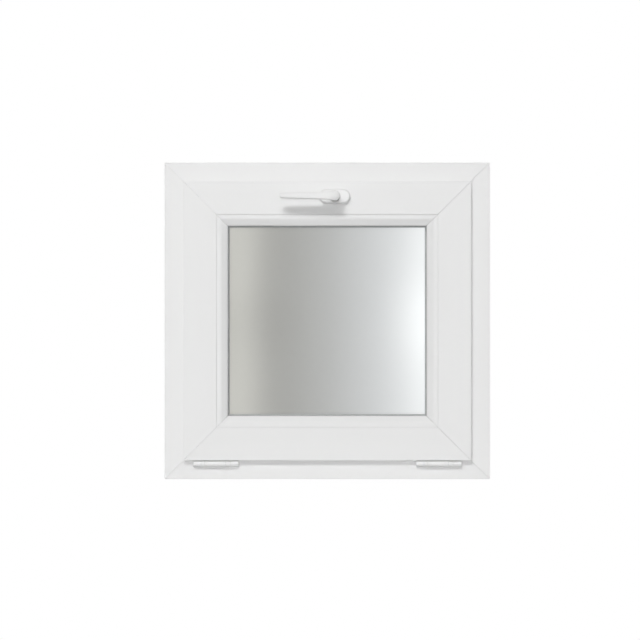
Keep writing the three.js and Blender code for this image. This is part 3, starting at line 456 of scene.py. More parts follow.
def apply_modifiers(made):
    """The mesh as its modifiers leave it becomes the object's own mesh."""
    graph = bpy.context.evaluated_depsgraph_get()
    whole = bpy.data.meshes.new_from_object(made.evaluated_get(graph))
    made.modifiers.clear()
    made.data = whole
    settle(whole)


def cut_away(made, *tools):
    """Takes the shape of each tool out of a piece."""
    for tool in tools:
        bpy.context.view_layer.update()
        cut = made.modifiers.new("cut", "BOOLEAN")
        cut.operation, cut.solver, cut.object = "DIFFERENCE", "EXACT", tool
        apply_modifiers(made)
        bpy.data.objects.remove(tool)


def finish_piece(made, material, body, stands_for=()):
    """Gives a piece its finish, the body that it rides on, and the CAD parts that it stands for."""
    made.data.materials.clear()
    made.data.materials.append(material)
    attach(made, body)
    if stands_for:
        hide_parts(*stands_for)
    made_pieces.append(made.name)
    return made


def make_piece(name, points, faces, material, body, slot, stands_for=()):
    """A new piece from its points and faces."""
    return finish_piece(bare_object(name, points, faces), material, body, stands_for)


# %% [markdown]
# ## Bars with chambers
# A PVC bar is a hollow section, cut at 45 degrees at both ends and welded to its neighbours. The weld shows
# as a hairline, because each cut edge is eased a little. It could be drawn on as a dark line, but a real
# edge catches light from every side, so the section shrinks over the last fraction of a millimetre instead.

# %% A section carried along a side
MITRE_EASE = 0.5
MITRE_GAP = 0.16  # from the cut to the mitre line, on each bar

SIDES = {  # where a side starts, the way in from its outer edge, the way along it, and its length
    "bottom": ((WIDTH / 2, 0, 0), (0, 0, 1), (-1, 0, 0), WIDTH),
    "left": ((-WIDTH / 2, 0, 0), (1, 0, 0), (0, 0, 1), HEIGHT),
    "top": ((-WIDTH / 2, 0, HEIGHT), (0, 0, -1), (1, 0, 0), WIDTH),
    "right": ((WIDTH / 2, 0, HEIGHT), (-1, 0, 0), (0, 0, -1), HEIGHT),
}


def prism(outside, chambers, start, stop, ease):
    """A section (u, v) carried along s from start(u) to stop(u). Its rows are the section shrunk by ease at
    the cut, the full section a little further on, and the same at the other end. Chambers run right
    through, and each end is closed by triangles between the outside and the chambers. Gives points (u, v,
    s) and faces."""
    outside = wound(outside)
    small = inset(outside, ease)
    rows = [(small, start(small[:, 0])), (outside, start(outside[:, 0]) + ease),
            (outside, stop(outside[:, 0]) - ease), (small, stop(small[:, 0]))]
    points = [np.column_stack(row) for row in rows]
    count = len(outside)
    faces = grid_faces(4, count)
    ends = [[np.arange(count)], [np.arange(count) + 3 * count]]
    filled = 4 * count
    holes = [wound(chamber, False) for chamber in chambers]
    for hole in holes:
        n = len(hole)
        points += [np.column_stack((hole, cut(hole[:, 0]))) for cut in (start, stop)]
        faces += grid_faces(2, n, filled)
        ends[0].append(np.arange(n) + filled)
        ends[1].append(np.arange(n) + filled + n)
        filled += 2 * n
    flat = np.vstack([small, *holes])
    triangles = np.array(tessellate_polygon([[(*p, 0) for p in loop.tolist()] for loop in (small, *holes)]))
    a, b, c = (flat[triangles[:, k]] for k in range(3))
    turn = (b - a)[:, 0] * (c - a)[:, 1] - (b - a)[:, 1] * (c - a)[:, 0]
    triangles[turn < 0] = triangles[turn < 0][:, ::-1]
    faces += np.concatenate(ends[0])[triangles[:, ::-1]].tolist()
    faces += np.concatenate(ends[1])[triangles].tolist()
    return np.vstack(points), faces


def on_side(points, side):
    """(h, y, s) of a side becomes (x, y, z): corner + h * inward + s * along, at depth y."""
    corner, inward, along, _ = SIDES[side]
    h, y, s = points.T
    return np.array(corner) + h[:, None] * inward + s[:, None] * along + y[:, None] * (0, 1, 0)


def bar(name, side, section, material, body, slot, stands_for):
    """A section with its chambers, mitred at both ends, on one side of the window."""
    length = SIDES[side][3]
    points, faces = prism(
        *section, lambda h: h + MITRE_GAP, lambda h: length - h - MITRE_GAP, MITRE_EASE)
    return make_piece(name, on_side(points, side), faces, material, body, slot, stands_for)


# %% [markdown]
# ## The outer frame
# An L-shaped section: a deep body, a rebate with a channel that gathers water, and a stop on the outer side
# that carries a gasket. The outer edge has two grooves for fixing straps. Inside, walls split it into
# chambers.

# %% The frame's section
STEEL_Y0 = Y_ROOM + 14  # the steel's chamber, from here
STEEL_Y1 = Y_STOP - 17  # to here in depth
STEEL_H1 = REBATE_H - 3.5
ANCHOR_DEEP = 3.5  # grooves for the fixing straps
ANCHOR_HALF = 5
ANCHOR_IN = 20  # from each face to a groove's middle
DRAIN_DEEP = 3.0  # channel in the rebate
DRAIN_WEB_Y = Y_STOP - 4  # wall under the channel
STOP_GROOVE = REBATE_H + 13  # where the groove for the stop's gasket starts
GASKET_GROOVE = 3  # width and depth of a gasket's groove


def frame_section():
    """The outline of the frame's section, and its chambers."""
    grooves = [corner for y in (Y_OUT - ANCHOR_IN, Y_ROOM + ANCHOR_IN) for corner in (
        (0, y + ANCHOR_HALF, 0.4), (ANCHOR_DEEP, y + ANCHOR_HALF, 0.5),
        (ANCHOR_DEEP, y - ANCHOR_HALF, 0.5), (0, y - ANCHOR_HALF, 0.4))]
    groove_end = STOP_GROOVE + GASKET_GROOVE
    outside = outline([
        (0, Y_ROOM, 0.8), (REBATE_H, Y_ROOM, 1.5), (REBATE_H, Y_STOP - 12, 0.4),
        (REBATE_H - DRAIN_DEEP, Y_STOP - 10, 0.6), (REBATE_H - DRAIN_DEEP, Y_STOP - 3, 0.6),
        (REBATE_H, Y_STOP - 1, 0.3), (REBATE_H, Y_STOP), (STOP_GROOVE, Y_STOP, 0.3),
        (STOP_GROOVE, Y_STOP + GASKET_GROOVE), (groove_end, Y_STOP + GASKET_GROOVE),
        (groove_end, Y_STOP, 0.3),
        (STOP_H, Y_STOP, 0.7), (STOP_H - 2.5, Y_OUT, 2.0), (0, Y_OUT, 0.8), *grooves])
    chambers = [
        rectangle(WALL, STEEL_H1 + 0.7, Y_ROOM + WALL, STEEL_Y0 - WEB, 0.6),
        rectangle(ANCHOR_DEEP + WALL, STEEL_H1, STEEL_Y0, STEEL_Y1, 0.4),
        rectangle(ANCHOR_DEEP + WALL, REBATE_H - DRAIN_DEEP - WALL, STEEL_Y1 + WEB, DRAIN_WEB_Y, 0.6),
        rectangle(WALL, REBATE_H - DRAIN_DEEP - WALL, DRAIN_WEB_Y + WEB, Y_OUT - WALL, 0.6),
        rectangle(REBATE_H - 1.5, STOP_GROOVE - WALL, Y_STOP + WALL, Y_OUT - WALL, 0.6)]
    return outside, chambers


FRAME_BARS = {"bottom": "frame_sill", "left": "frame_jamb_left", "top": "frame_head",
              "right": "frame_jamb_right"}


def grain_of(side):
    """Rails have their die lines along x, and stiles along z."""
    return pvc_rail if side in ("bottom", "top") else pvc_stile


frame_bars = {side: bar(node + "_pvc", side, frame_section(), grain_of(side), "frame", "pvc_white", [node])
              for side, node in FRAME_BARS.items()}
print("frame bars:", [len(o.data.polygons) for o in frame_bars.values()], "faces")

# %% [markdown]
# Water runs out of the rebate through slots in its channel, then through slots in the outer face, under
# caps.

# %% Drain slots in the sill
DRAIN_CAPS = [sum(span(node, "x")) / 2 for node in ("left_drain_cap", "right_drain_cap")]
SLOT_H = (9.0, 14.0)  # height of the outer slots
OUTER_SLOT_HALF = 12
INNER_SLOT_HALF = 13


def block(x, y, z):
    """A block from three ranges. It is a rectangle in (y, z) carried along x."""
    section = rectangle(*y, *z)
    points, faces = prism(section, [], lambda u: u * 0 + x[0], lambda u: u * 0 + x[1], 0.0)
    return bare_object("block", points[:, [2, 0, 1]], faces)


for x in DRAIN_CAPS:
    cut_away(
        frame_bars["bottom"],
        block((x - INNER_SLOT_HALF, x + INNER_SLOT_HALF), (Y_STOP - 9, Y_STOP - 4.5),
              (REBATE_H - DRAIN_DEEP - 2 * WALL, REBATE_H)),
        block((x - OUTER_SLOT_HALF, x + OUTER_SLOT_HALF), (Y_STOP - 6, Y_OUT + 1), SLOT_H))
print("drain slots cut at x =", [round(x) for x in DRAIN_CAPS])

# %% [markdown]
# ## The sash
# A Z-shaped section: a lip that laps over the frame, a groove for the hardware, a box with a steel channel
# in it, and a leg that holds the glass from outside. The steel is why the section has one large chamber.

# %% The sash's section
BEAD_GROOVE_Y = (Y_SASH_ROOM + 3.2, Y_SASH_ROOM + 8.2)  # where the beads' feet snap in
BEAD_GROOVE_H = BEAD_H - 4.5
LIP_GROOVE = LIP_H + 2.8  # groove for the overlap gasket
LIP_GROOVE_DEEP = 2.5
LEG_GROOVE = FLOOR_H + 15  # groove for the outer glazing gasket
GROOVE_HALF = 6.0  # of the hardware groove
GROOVE_DEEP = 3
SASH_STEEL_H0 = SASH_H + 20.0
SASH_STEEL_H1 = FLOOR_H - WALL


def sash_section():
    """The outline of the sash's section, and its chambers."""
    leg_end, lip_end = LEG_GROOVE + GASKET_GROOVE, LIP_GROOVE + GASKET_GROOVE
    outside = outline([
        (LIP_H, Y_SASH_ROOM, 0.5), (BEAD_H, Y_SASH_ROOM, 0.6), (BEAD_H, BEAD_GROOVE_Y[0], 0.3),
        (BEAD_GROOVE_H, BEAD_GROOVE_Y[0]), (BEAD_GROOVE_H, BEAD_GROOVE_Y[1]),
        (FLOOR_H, BEAD_GROOVE_Y[1], 0.3), (FLOOR_H, Y_LEG, 0.5), (LEG_GROOVE, Y_LEG, 0.3),
        (LEG_GROOVE, Y_LEG + GASKET_GROOVE), (leg_end, Y_LEG + GASKET_GROOVE), (leg_end, Y_LEG, 0.3),
        (SIGHT_H, Y_LEG, 0.7), (SIGHT_H - 4, Y_SASH_OUT, 2.5), (SASH_H, Y_SASH_OUT, 0.8),
        (SASH_H, Y_GROOVE + GROOVE_HALF, 0.3), (SASH_H + GROOVE_DEEP, Y_GROOVE + GROOVE_HALF),
        (SASH_H + GROOVE_DEEP, Y_GROOVE - GROOVE_HALF), (SASH_H, Y_GROOVE - GROOVE_HALF, 0.3),
        (SASH_H, Y_LIP, 0.5), (lip_end, Y_LIP, 0.3), (lip_end, Y_LIP - LIP_GROOVE_DEEP),
        (LIP_GROOVE, Y_LIP - LIP_GROOVE_DEEP), (LIP_GROOVE, Y_LIP, 0.3), (LIP_H, Y_LIP, 0.8)])
    leg = Y_LEG + 0.5
    steel_h = SASH_STEEL_H0 - WEB
    chambers = [
        rectangle(LIP_H + 3.5, SASH_H - 2, Y_SASH_ROOM + WALL, Y_LIP - 4.5, 0.6),
        rectangle(SASH_H + 1.5, FLOOR_H - 7, Y_SASH_ROOM + WALL, Y_LIP + 0.5, 0.6),
        rectangle(SASH_H + 5, steel_h, Y_LIP + 2, Y_GROOVE + 11.5, 0.6),
        rectangle(SASH_H + WALL, steel_h, Y_GROOVE + 13, leg, 0.6),
        rectangle(SASH_STEEL_H0, SASH_STEEL_H1, Y_LIP + 2, leg, 0.4),
        rectangle(SASH_H + WALL, FLOOR_H - WALL, leg + WEB, Y_SASH_OUT - WALL, 0.6),
        rectangle(FLOOR_H, LEG_GROOVE - 2, Y_LEG + 7, Y_SASH_OUT - WALL, 0.6)]
    return outside, chambers


SASH_BARS = {"bottom": "sash_rail_bottom", "left": "sash_stile_left", "top": "sash_rail_top",
             "right": "sash_stile_right"}
sash_bars = {side: bar(node + "_pvc", side, sash_section(), grain_of(side), "sash", "pvc_white", [node])
             for side, node in SASH_BARS.items()}
print("sash bars:", [len(o.data.polygons) for o in sash_bars.values()], "faces")

# %% [markdown]
# The top rail is pierced for the handle's spindle and its two screws, and milled out for the gearbox.

# %% Openings for the handle
HANDLE_X, HANDLE_Z = (sum(span("handle_spindle", axis)) / 2 for axis in "xz")
SCREW_X = [sum(span(node, "x")) / 2 for node in ("handle_screw_left", "handle_screw_right")]
SPINDLE_HOLE_R = 7.5
SCREW_HOLE_R = 2.8


def turned(profile, axis, centre, sides=64):
    """A profile (radius, along) carried round an axis: at angle t the point is centre + along * axis +
    radius * (cos t, sin t) across it. Rows are the turns, so the faces wrap round."""
    order = {"x": (2, 0, 1), "y": (1, 2, 0), "z": (0, 1, 2)}[axis]
    t = np.linspace(0, 2 * np.pi, sides, endpoint=False)[:, None]
    radius, along = np.asarray(profile, float).T
    local = np.stack([radius * np.cos(t), radius * np.sin(t), along + 0 * t], -1)
    points = local.reshape(-1, 3)[:, order] + np.asarray(centre, float)
    return points, grid_faces(sides, len(profile), wrap=True)


def rod(radius, axis, centre, start, stop):
    """A plain round bar, used as a drill."""
    profile = [(0, start), (radius, start), (radius, stop), (0, stop)]
    return bare_object("rod", *turned(profile, axis, centre, 48))


gear_x, gear_y, gear_z = (span("gearbox_housing", axis) for axis in "xyz")
SLACK = 0.3
top_rail = sash_bars["top"]
cut_away(top_rail, block((gear_x[0] - SLACK, gear_x[1] + SLACK), (gear_y[0] - SLACK, gear_y[1] + SLACK),
                         (gear_z[0] - 0.5, HEIGHT - SASH_H - 1)))
for x, radius in ((HANDLE_X, SPINDLE_HOLE_R), (SCREW_X[0], SCREW_HOLE_R), (SCREW_X[1], SCREW_HOLE_R)):
    cut_away(top_rail, rod(radius, "y", (x, 0, HANDLE_Z), Y_SASH_ROOM - 1, Y_GROOVE - GROOVE_HALF))
print("top rail pierced at x =", round(HANDLE_X, 1), "z =", round(HANDLE_Z, 1))

# %% [markdown]
# ## Glazing beads
# The beads snap into the sash and hold the glass from inside. Their face is flat beside the sash and then
# slopes down to the glass, which is what gives the sight line its soft shading.

# %% Beads
BEAD_GAP = 0.3  # beside the sash
BEAD_FLAT = 7.5
BEAD_FALL = 0.44  # of the slope, for each millimetre towards the glass


def bead_section():
    """A bead: a foot in its groove, a flat, a slope to the glass, and one chamber."""
    face, foot = BEAD_H + BEAD_GAP, FLOOR_H + BEAD_GAP
    flat_end = face + BEAD_FLAT
    fall = (SIGHT_H - flat_end) * BEAD_FALL
    outside = outline([
        (face, Y_BEAD_ROOM, 0.4), (flat_end, Y_BEAD_ROOM, 14.0), (SIGHT_H, Y_BEAD_ROOM + fall, 0.5),
        (SIGHT_H, Y_BEAD_BACK, 0.8), (foot, Y_BEAD_BACK, 0.4),
        (foot, BEAD_GROOVE_Y[1] - 0.3), (BEAD_GROOVE_H + 0.6, BEAD_GROOVE_Y[1] - 0.3, 0.4),
        (BEAD_GROOVE_H + 0.6, BEAD_GROOVE_Y[0] + 0.3, 0.4), (face, BEAD_GROOVE_Y[0] + 0.3)])
    chamber = outline([
        (face + 2.4, Y_BEAD_ROOM + 2.5, 0.4), (flat_end - 0.6, Y_BEAD_ROOM + 2.5, 0.4),
        (SIGHT_H - 2.5, Y_BEAD_ROOM + fall + 1.8, 0.6), (SIGHT_H - 2.5, Y_BEAD_BACK - 2.5, 0.4),
        (face + 2.4, Y_BEAD_BACK - 2.5, 0.4)])
    return outside, [chamber]


beads = {side: bar(f"glazing_bead_{side}_pvc", side, bead_section(), grain_of(side), "sash", "pvc_white",
                   [f"glazing_bead_{side}"]) for side in SIDES}
print("beads:", [len(o.data.polygons) for o in beads.values()], "faces")

# %% [markdown]
# ## Gaskets
# Each gasket is a rubber strip with a foot in a groove and a soft bulb that presses on the part it seals.
# It runs round the window without a break, so its section is carried round the four corners and joined up.

# %% Sections carried round the window


def ring(name, section, material, body, slot, stands_for):
    """A section (h, y) at each of the four corners, at (width / 2 - h) across and h up or down from an edge.
    The rows are the corners, and the last one joins the first."""
    h, y = wound(section).T
    corners = [(-1, 0), (1, 0), (1, 1), (-1, 1)]
    rows = [np.column_stack((across * (WIDTH / 2 - h), y, HEIGHT - h if up else h))
            for across, up in corners]
    faces = grid_faces(4, len(h), wrap=True)
    return make_piece(name, np.vstack(rows), faces, material, body, slot, stands_for)


def bulb_gasket(foot, foot_y, bulb, bulb_y):
    """A foot with a barb, and a bulb that narrows away from it. The y values run from foot to bulb."""
    (f0, f1), (b0, b1) = foot, bulb
    barb = foot_y[0] + 0.35 * (foot_y[1] - foot_y[0])
    slope = (b1 - b0) / 4
    return outline([
        (f0 + 0.5, foot_y[0], 0.2), (f1 - 0.5, foot_y[0], 0.2), (f1, barb), (f1 - 0.5, barb + 0.01),
        (f1 - 0.5, bulb_y[0]), (b1, bulb_y[0], 0.3), (b1 - slope, bulb_y[1], 0.8),
        (b0 + slope, bulb_y[1], 0.8), (b0, bulb_y[0], 0.3), (f0 + 0.5, bulb_y[0]),
        (f0 + 0.5, barb + 0.01), (f0, barb)], 5, 0.02)


ring("stop_gasket_rubber", bulb_gasket(
    (STOP_GROOVE + 0.2, STOP_GROOVE + 2.8), (Y_STOP + 2.8, Y_STOP - 0.1),
    (STOP_GROOVE - 0.8, STOP_GROOVE + 4.8), (Y_STOP - 0.1, Y_SASH_OUT + 0.3)),
    gasket_rubber, "frame", "gasket_grey", ["frame_stop_gasket"])
ring("outer_glazing_gasket_rubber", bulb_gasket(
    (LEG_GROOVE + 0.2, LEG_GROOVE + 2.8), (Y_LEG + 2.8, Y_LEG - 0.1),
    (LEG_GROOVE - 0.5, SIGHT_H + 2), (Y_LEG - 0.1, Y_GLASS_OUT + 0.2)),
    gasket_rubber, "sash", "gasket_grey", ["glazing_gasket_outer"])
wedge = (Y_BEAD_BACK + 0.3, Y_GLASS_ROOM - 0.2)
ring("inner_glazing_gasket_rubber", outline([
    (SIGHT_H - 4.5, wedge[0], 0.3), (SIGHT_H + 1.2, wedge[0], 0.8), (SIGHT_H + 2.9, sum(wedge) / 2, 0.8),
    (SIGHT_H + 2.9, wedge[1], 0.2), (SIGHT_H - 4.5, wedge[1], 0.3)]),
    gasket_rubber, "sash", "gasket_grey", ["glazing_gasket_inner"])
overlap = ring("overlap_gasket_rubber", bulb_gasket(
    (LIP_GROOVE + 0.2, LIP_GROOVE + 2.8), (Y_LIP - 2.3, Y_LIP + 0.1),
    (LIP_GROOVE - 0.8, LIP_GROOVE + 3.4), (Y_LIP + 0.1, Y_ROOM - 0.3)),
    gasket_rubber, "sash", "gasket_grey", ["sash_overlap_gasket"])
for side in ("left", "right"):
    low, high = span(f"{side}_hinge_frame_leaf", "x")
    cut_away(overlap, block((low - 2, high + 2), (Y_LIP + 0.05, Y_ROOM + 1), (LIP_H - 1, REBATE_H + 1)))
print("gaskets made; the overlap gasket is trimmed at both hinges")

# %% [markdown]
# ## The glass unit
# Two panes with ground edges, an aluminium spacer bar between them, and black sealant outside it. A ground
# edge is a small flat at 45 degrees, so each pane is its rectangle carried through four depths.

# %% Panes
GROUND_EDGE = 0.6


def pane(name, node, material, slot):
    """Rectangles at four depths: smaller on both faces and full size between, closed by the two faces."""
    (x0, x1), (y0, y1), (z0, z1) = (span(node, axis) for axis in "xyz")
    rows = []
    for y, ease in ((y0, GROUND_EDGE), (y0 + GROUND_EDGE, 0), (y1 - GROUND_EDGE, 0), (y1, GROUND_EDGE)):
        x = np.array((x0 + ease, x1 - ease, x1 - ease, x0 + ease))
        z = np.array((z0 + ease, z0 + ease, z1 - ease, z1 - ease))
        rows.append(np.column_stack((x, np.full(4, y), z)))
    faces = grid_faces(4, 4) + [[3, 2, 1, 0], [12, 13, 14, 15]]
    return make_piece(name, np.vstack(rows), faces, material, "sash", slot, [node])


pane("satin_pane", "glass_pane_inner", glass_satin, "glass_satin")
pane("clear_pane", "glass_pane_outer", glass_clear, "glass_clear")
print("panes", [round(v) for v in span("glass_pane_inner", "x")], "mm")

# %% [markdown]
# ## The handle
# The lever is cast in one piece: a round neck rises from the rosette and runs out into a flat arm that
# tapers to its tip. Seen from the room it is a round head with a long arm. It could be two solids joined,
# but a casting has no seam there, so closed lines are stacked from the sash outwards: circles for the neck,
# then the lever's own outline for the arm, closed by a face that is a little crowned on the arm and domed
# on the head.

# %% The lever
NECK_R = 9.5
ARM_DEPTH = 14.0
TIP_HALF = 4.6  # half the arm's height at its tip
ARM_GROWTH = 2.0  # added to that from the tip to here:
ARM_END = 16.0  # this far from the axis
HEAD_FLARE = 2.9  # added at the axis, and gone at the flare's length from it
FLARE_LENGTH = 18.0
TIP_FALL = 2.0  # the face falls back by this much at the tip
BACK_RISE = 1.5  # and the back comes forward by this much
BACK_EASE = 2.8
LEVER_LENGTH = HANDLE_X - span("handle_lever", "x")[0]
LEVER_FRONT = Y_SASH_ROOM - span("handle_lever", "y")[0]  # out from the sash's face
LEVER_BASE = 5.6
CROWN = 0.4  # rise of the arm's face from edge to middle
DOME = 2.1  # more than that on the round head
LEVER_EASE = 0.8


def smooth_step(t):
    """Rises from 0 to 1 with no corner at either end: 3t^2 - 2t^3."""
    t = np.clip(t, 0, 1)
    return t * t * (3 - 2 * t)


def lever_outline(corner=2.6):
    """The lever seen from the room: a half circle on the right, and edges at a height h(x) that shrinks
    towards the tip, down to its rounded corners. Symmetric, so that each point has a partner below."""
    turn = np.linspace(0, np.pi / 2, 15)[:-1]
    x = -np.linspace(0, LEVER_LENGTH - corner, 34)
    growth = ARM_GROWTH * np.clip(1 + (x + ARM_END) / (LEVER_LENGTH - ARM_END), 0, 1)
    height = TIP_HALF + growth + HEAD_FLARE * (1 - smooth_step(-x / FLARE_LENGTH))
    a = np.linspace(0, np.pi / 2, 7)[1:]
    tip = np.column_stack((x[-1] - corner * np.sin(a), height[-1] - corner * (1 - np.cos(a))))
    upper = np.vstack([np.column_stack((NECK_R * np.cos(turn), NECK_R * np.sin(turn))),
                       np.column_stack((x, height)), tip])
    return np.vstack([upper, upper[:0:-1] * (1, -1)])


def lever_surface():
    """Rows from the sash outwards, each (x, z) with its distance out. Neck circles use the angle of each
    outline point seen from the axis, with x held at -9. Then the outline, drawn in by r (1 - cos b) as it
    comes out by r sin b at the back and front edges. Last its height shrinks to nothing while the face
    rises from the rim to the middle as a parabola: by the square of the distance from the middle line, and
    on the head from the axis."""
    line = lever_outline()
    angle = np.arctan2(line[:, 1], np.maximum(line[:, 0], -9.0))
    circle = np.column_stack((np.cos(angle), np.sin(angle)))
    armness = smooth_step((-line[:, 0] - 2) / 12)
    along = np.clip(-line[:, 0] / LEVER_LENGTH, 0, 1)
    rise = CROWN + DOME * (1 - armness)
    rim = LEVER_FRONT - TIP_FALL * along - rise
    half = np.where(line[:, 0] > 0, NECK_R, np.maximum(np.abs(line[:, 1]), 3.0))
    stop = np.pi / 2 - np.arctan(2 * rise / half)  # the edge ends where the face's own slope begins
    back = LEVER_FRONT - ARM_DEPTH + BACK_RISE * along
    flat = np.ones(len(line))
    rows = [(circle * radius, flat * out) for radius, out in (
        (NECK_R, LEVER_BASE), (NECK_R, 11), (8.7, 17), (8.7, 25), (NECK_R - 0.3, 31), (NECK_R - 0.1, 33))]
    for b in np.linspace(0, np.pi / 2, 6):
        draw = BACK_EASE * armness * (1 - math.sin(b))
        rows.append((inset(line, draw), back + BACK_EASE * (1 - math.cos(b))))
    for b in np.linspace(0, 1, 6)[:, None] * stop:
        out = rim - LEVER_EASE * (np.sin(stop) - np.sin(b))
        rows.append((inset(line, LEVER_EASE * (1 - np.cos(b))), out))
    face = rows[-1][0]
    by_x = (np.clip(line[:, 0], 0, None) / NECK_R) ** 2  # the share of the fall that x gives, on the head
    rows += [(face * (1, shrink), rim + rise * (1 - by_x) * (1 - shrink ** 2))
             for shrink in (0.85, 0.7, 0.5, 0.25, 0.0)]
    points = [np.column_stack((HANDLE_X + xz[:, 0], Y_SASH_ROOM - out, HANDLE_Z + xz[:, 1]))
              for xz, out in rows]
    return np.vstack(points), grid_faces(len(rows), len(line)) + [list(range(len(line)))[::-1]]


lever = make_piece("lever_cast", *lever_surface(), handle_enamel, "handle", "handle_enamel",
                   ["handle_lever"])
print("lever", round(LEVER_LENGTH, 1), "mm long,", len(lever.data.polygons), "faces")

# %% [markdown]
# ### The rosette
# A thin oblong cover snaps over the screws. It is one wall all the way: up the outer side, over a sloping
# edge, across the face, through the hole and back inside. Each row is an oblong at one inset, and the hole
# is a circle.

# %% The rosette's cover
cover_x, cover_y, cover_z = (span("handle_rosette_cap", axis) for axis in "xyz")
COVER_WALL = 1.6
# the sloping edge: how far in from the outline, and how far behind the face
COVER_EDGE = [(0, 2.15), (0.08, 2.05), (1.2, 1.18), (2.2, 0.42), (2.8, 0.1), (3.4, 0)]


def rosette_surface(columns=96):
    """Rows of oblongs (two half circles joined by straight sides, points spread by angle) and circles. Each
    row has a depth y, and the last row joins the first, so the wall closes on itself."""
    half_length, radius = (cover_x[1] - cover_x[0]) / 2, (cover_z[1] - cover_z[0]) / 2
    reach = half_length - radius
    a = np.linspace(0, 2 * np.pi, columns, endpoint=False)

    def oblong(small):
        return np.column_stack((np.cos(a) * (radius - small) + reach * np.clip(np.cos(a) * 2.2, -1, 1),
                                np.sin(a) * (radius - small)))

    circle = np.column_stack((np.cos(a), np.sin(a)))
    front, back = cover_y
    rows = [(oblong(COVER_WALL), back), (oblong(0.25), back), (oblong(0), back - 0.25)]
    rows += [(oblong(inward), front + behind) for inward, behind in COVER_EDGE]
    rows += [(circle * (NECK_R + 1.2), front), (circle * (NECK_R + 0.5), front + 0.6),
             (circle * (NECK_R + 0.5), front + COVER_WALL)]
    rows += [(oblong(3.7), front + COVER_WALL), (oblong(COVER_WALL), front + 3.2)]
    points = [np.column_stack((HANDLE_X + line[:, 0], np.full(columns, y), HANDLE_Z + line[:, 1]))
              for line, y in rows]
    return np.vstack(points), grid_faces(len(rows), columns, wrap=True)


make_piece("rosette_cover", *rosette_surface(), cap_white, "sash", "cap_white", ["handle_rosette_cap"])
print("rosette", round(cover_x[1] - cover_x[0]), "x", round(cover_z[1] - cover_z[0]), "mm")

# %% [markdown]
# ## Hinges
# Both hinges sit under the sash's lip. Turned caps close the ends of each pin: the left one is domed and
# the right one is nearly square. A cap is one profile turned round the pin's axis.

# %% Hinge caps
PIN_BORE_R = 3.3
BORE_START = 4.7  # from the cap's closed end


def hinge_cap(name, node, domed):
    """Turned from its closed end: a dome (a quarter ellipse) or an eased flat end, the barrel, and the
    bore."""
    (x0, x1), (y0, y1), (z0, z1) = (span(node, axis) for axis in "xyz")
    radius, length = (z1 - z0) / 2, x1 - x0
    depth, flat = (3.0, radius - 2.6) if domed else (0.9, radius - 0.9)
    b = np.linspace(0, np.pi / 2, 9)
    end = np.column_stack((flat + (radius - flat) * np.sin(b), depth * (1 - np.cos(b))))
    profile = np.vstack([[(0, 0)], end, [(radius, length - 0.3), (radius - 0.3, length),
                                         (PIN_BORE_R, length), (PIN_BORE_R, BORE_START), (0, BORE_START)]])
    if not domed:
        profile[:, 1] = length - profile[:, 1]
    points, faces = turned(profile, "x", (x0, (y0 + y1) / 2, (z0 + z1) / 2))
    return make_piece(name, points, faces, cap_white, "frame", "cap_white", [node])


for side in ("left", "right"):
    hinge_cap(f"{side}_hinge_domed_cap", f"{side}_hinge_left_cap", True)
    hinge_cap(f"{side}_hinge_square_cap", f"{side}_hinge_right_cap", False)
print("hinge caps turned")

# %% [markdown]
# ## Hardware with eased edges
# Pressed and cast hardware never has a knife edge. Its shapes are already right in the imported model, so a
# copy of each is cleaned (its loose triangles merged into flat faces) and a Bevel modifier eases every edge
# that turns by more than 35 degrees.

# %% Ease the edges of a copy


def eased(node, name, width, material, body, segments=2):
    """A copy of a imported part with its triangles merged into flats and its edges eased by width."""
    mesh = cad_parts[node].data.copy()
    mesh.name = name
    work = bmesh.new()
    work.from_mesh(mesh)
    bmesh.ops.remove_doubles(work, verts=work.verts, dist=5e-6)
    bmesh.ops.dissolve_limit(work, angle_limit=math.radians(0.5), verts=work.verts, edges=work.edges)
    work.to_mesh(mesh)
    work.free()
    made = bpy.data.objects.new(name, mesh)
    bpy.context.scene.collection.objects.link(made)
    bevel = made.modifiers.new("eased edges", "BEVEL")
    bevel.width, bevel.segments = width / MM, segments
    bevel.limit_method, bevel.angle_limit = "ANGLE", math.radians(35)
    bevel.use_clamp_overlap = True
    apply_modifiers(made)
    return finish_piece(made, material, body, [node])


for side in ("left", "right"):
    for body in ("frame", "sash"):
        eased(f"{side}_hinge_{body}_leaf", f"{side}_hinge_leaf_on_{body}", 0.3, hinge_enamel,
              body)
    eased(f"{side}_keep", f"{side}_keep_plate", 0.25, zinc_plate, "frame")
    eased(f"{side}_stay_bracket", f"{side}_stay_bracket_plate", 0.3, zinc_plate, "frame")
    eased(f"{side}_stay_track", f"{side}_stay_track_plate", 0.3, zinc_plate, "sash")
    eased(f"{side}_stay_arm", f"{side}_stay_arm_strip", 0.35, zinc_plate,
          f"{side}_stay_arm")
    eased(f"{side}_drain_cap", f"{side}_drain_cover", 0.5, cap_white, "frame", 3)
    eased(f"setting_block_{side}", f"{side}_glazing_packer", 0.4, block_plastic, "sash")
eased("drive_faceplate", "faceplate_strip", 0.25, zinc_plate, "sash")
eased("drive_rod", "drive_rod_bar", 0.15, zinc_plate, "drive_rod")
print(len(made_pieces), "pieces so far")

# %% [markdown]
# ## Screws
# Countersunk screws hold the hardware. Only their heads show: a shallow dome with a cross recess. The head
# is a disc of points whose height is a formula, so the cross is pressed in where either arm's distance is
# small.

# %% Screw heads
HINGE_SCREW_R = 3.2
PLATE_SCREW_R = 2.8
TRACK_SCREW_R = 2.6


